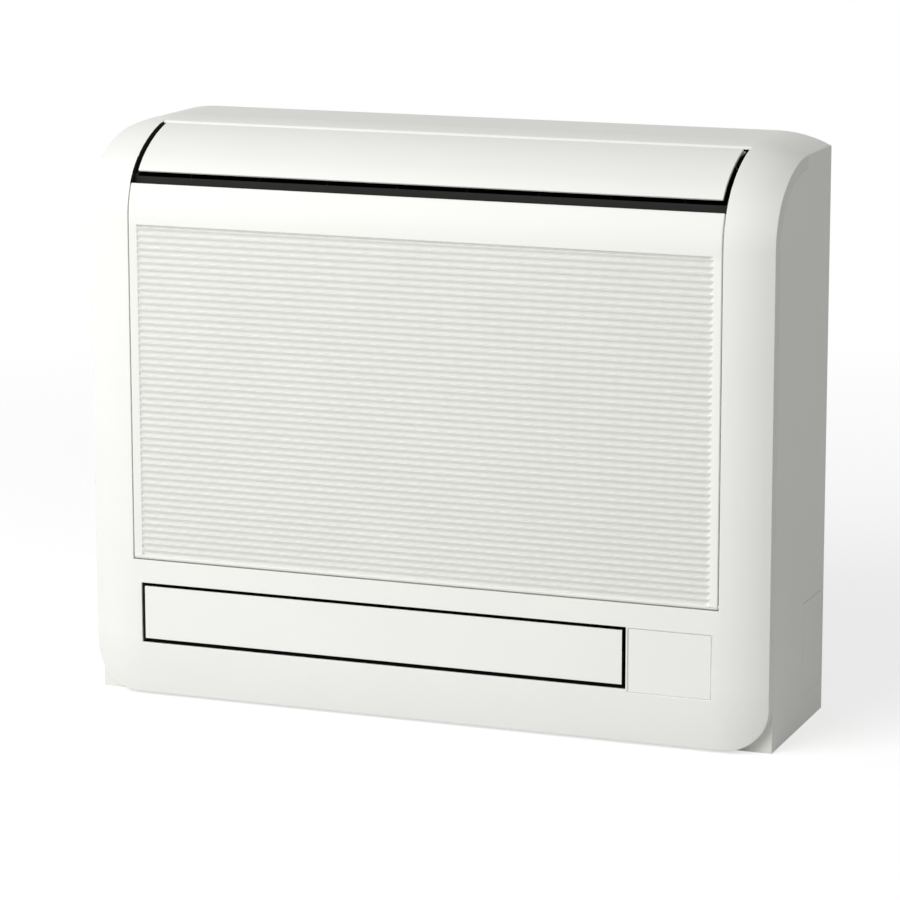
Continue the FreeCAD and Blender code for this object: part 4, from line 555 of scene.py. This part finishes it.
# finishes of the carried-over nodes
finishes = [
    # near-black channels, vanes and link bars; on the fan housing the near-black is painted shade of the
    # throat seen between the vanes
    (darkAbsAndPaintedShade, ["upper_outlet_duct", "lower_outlet_duct", "fan_housing", "link_bar_left", "link_bar_right"]
     + [name for name in nodes if name.startswith("guide_vane_")]),
    (whiteAbs, ["drain_pan", "drain_spout", "fan_orifice_plate"]),
    (greyPlastic, ["fan_wheel", "filter_frame", "air_filter_left", "air_filter_right", "cable_clamp"]),
    (galvanised, ["motor_bracket", "fan_motor", "control_box", "control_box_lid", "coil_end_plates"]),
    (brightSteel, ["fan_shaft", "fan_nut", "orifice_screws", "lid_screws", "board_standoffs",
                   "grille_hinge_pins", "upper_flap_motor", "lower_flap_motor"]),
    (blackSteelPaintedShade, ["upper_flap_pins", "lower_flap_pins"]),
    (blackAcetalPaintedShade, ["upper_flap_bushes", "lower_flap_bushes"]),
    (fins, ["fin_pack"]),
    (copper, ["coil_tubes", "gas_pipe", "liquid_pipe"]),
    (brass, ["flare_nuts"]),
    (rubber, ["motor_mounts"]),
    (acetal, ["emergency_button"]),
    (net, ["filter_meshes"]),
    (board, ["control_board", "receiver_board"]),
    (phenolic, ["terminal_block", "board_components"]),
]
for material, names in finishes:
    for name in names:
        nodes[name].data.materials.clear()
        nodes[name].data.materials.append(material)
print("stage: nodes finished")

# floor and light of a white product shot, in metres and watts
studio = {
    "floorHalf": 12.0, "floorPaper": "#c8c8c8", "floorGlow": 0.62, "fade": (0.9, 2.2),
    "worldCamera": 1.0, "worldLight": 0.36,
    "keyPlace": (-1.51, -2.83, 1.93), "keyAim": (0.0, 0.0, 0.3), "keySize": 3.0, "keyPower": 107.0,
}


# rays that see the plain background: straight ones, mirrored ones and those through glass
def backgroundRays(tree):
    rays = addNode(tree, "ShaderNodeLightPath")
    first = addNode(tree, "ShaderNodeMath", {"operation": "MAXIMUM"},
                    {0: (rays, "Is Camera Ray"), 1: (rays, "Is Glossy Ray")})
    return addNode(tree, "ShaderNodeMath", {"operation": "MAXIMUM"},
                   {0: (first, "Value"), 1: (rays, "Is Transmission Ray")})


# matt white paper that keeps the shadow and runs out to plain white away from the object
def makePaper(spec):
    material = bpy.data.materials.new("whitePaperFloor")
    tree = emptyTree(material)
    rays = backgroundRays(tree)
    paper = addNode(tree, "ShaderNodeBsdfDiffuse", {"Color": linearHex(spec["floorPaper"])})
    lift = addNode(tree, "ShaderNodeMath", {"operation": "MULTIPLY", 1: spec["floorGlow"]},
                   {0: (rays, "Value")})
    glow = addNode(tree, "ShaderNodeEmission", None, {"Strength": (lift, "Value")})
    both = addNode(tree, "ShaderNodeAddShader", None, {0: (paper, "BSDF"), 1: (glow, "Emission")})
    place = addNode(tree, "ShaderNodeTexCoord")
    reach = addNode(tree, "ShaderNodeVectorMath", {"operation": "LENGTH"}, {0: (place, "Object")})
    near, far = spec["fade"]
    fade = addNode(tree, "ShaderNodeMapRange", {"From Min": near, "From Max": far},
                   {"Value": (reach, "Value")})
    seen = addNode(tree, "ShaderNodeMath", {"operation": "MULTIPLY"},
                   {0: (fade, "Result"), 1: (rays, "Value")})
    white = addNode(tree, "ShaderNodeEmission")
    whole = addNode(tree, "ShaderNodeMixShader", None,
                    {0: (seen, "Value"), 1: (both, "Shader"), 2: (white, "Emission")})
    addNode(tree, "ShaderNodeOutputMaterial", None, {"Surface": (whole, "Shader")})
    return material


def makeFloor(spec):
    work = bmesh.new()
    bmesh.ops.create_grid(work, x_segments=1, y_segments=1, size=spec["floorHalf"])
    mesh = bpy.data.meshes.new("studioFloor")
    work.to_mesh(mesh)
    work.free()
    floor = bpy.data.objects.new("studioFloor", mesh)
    scene.collection.objects.link(floor)
    floor.data.materials.append(makePaper(spec))


def makeWorld(spec):
    world = bpy.data.worlds.new("studioWorld")
    scene.world = world
    tree = emptyTree(world)
    rays = backgroundRays(tree)
    level = addNode(tree, "ShaderNodeMapRange", {"To Min": spec["worldLight"], "To Max": spec["worldCamera"]},
                    {"Value": (rays, "Value")})
    back = addNode(tree, "ShaderNodeBackground", {"Color": (1.0, 1.0, 1.0, 1.0)},
                   {"Strength": (level, "Result")})
    addNode(tree, "ShaderNodeOutputWorld", None, {"Surface": (back, "Background")})


def makeKey(spec):
    lamp = bpy.data.lights.new("keySoftbox", "AREA")
    lamp.shape = "SQUARE"
    lamp.size = spec["keySize"]
    lamp.energy = spec["keyPower"]
    key = bpy.data.objects.new("keySoftbox", lamp)
    key.location = spec["keyPlace"]
    key.rotation_euler = (Vector(spec["keyAim"]) - key.location).to_track_quat("-Z", "Y").to_euler()
    scene.collection.objects.link(key)


makeFloor(studio)
makeWorld(studio)
makeKey(studio)

# camera at the photograph's viewing angle, in metres, degrees and mm of focal length
lens = {
    "place": (1.3613, -3.541, 1.0513), "yaw": 20.708, "pitch": 11.306,
    "focal": 149.92, "shift": (-0.0278, -0.0278),
}
camera = bpy.data.objects.new("camera", bpy.data.cameras.new("camera"))
camera.data.lens = lens["focal"]
camera.data.shift_x, camera.data.shift_y = lens["shift"]
camera.location = lens["place"]
camera.rotation_euler = (math.radians(90 - lens["pitch"]), 0, math.radians(lens["yaw"]))
scene.collection.objects.link(camera)
scene.camera = camera
scene.view_settings.view_transform = "Standard"
print("stage: studio set")
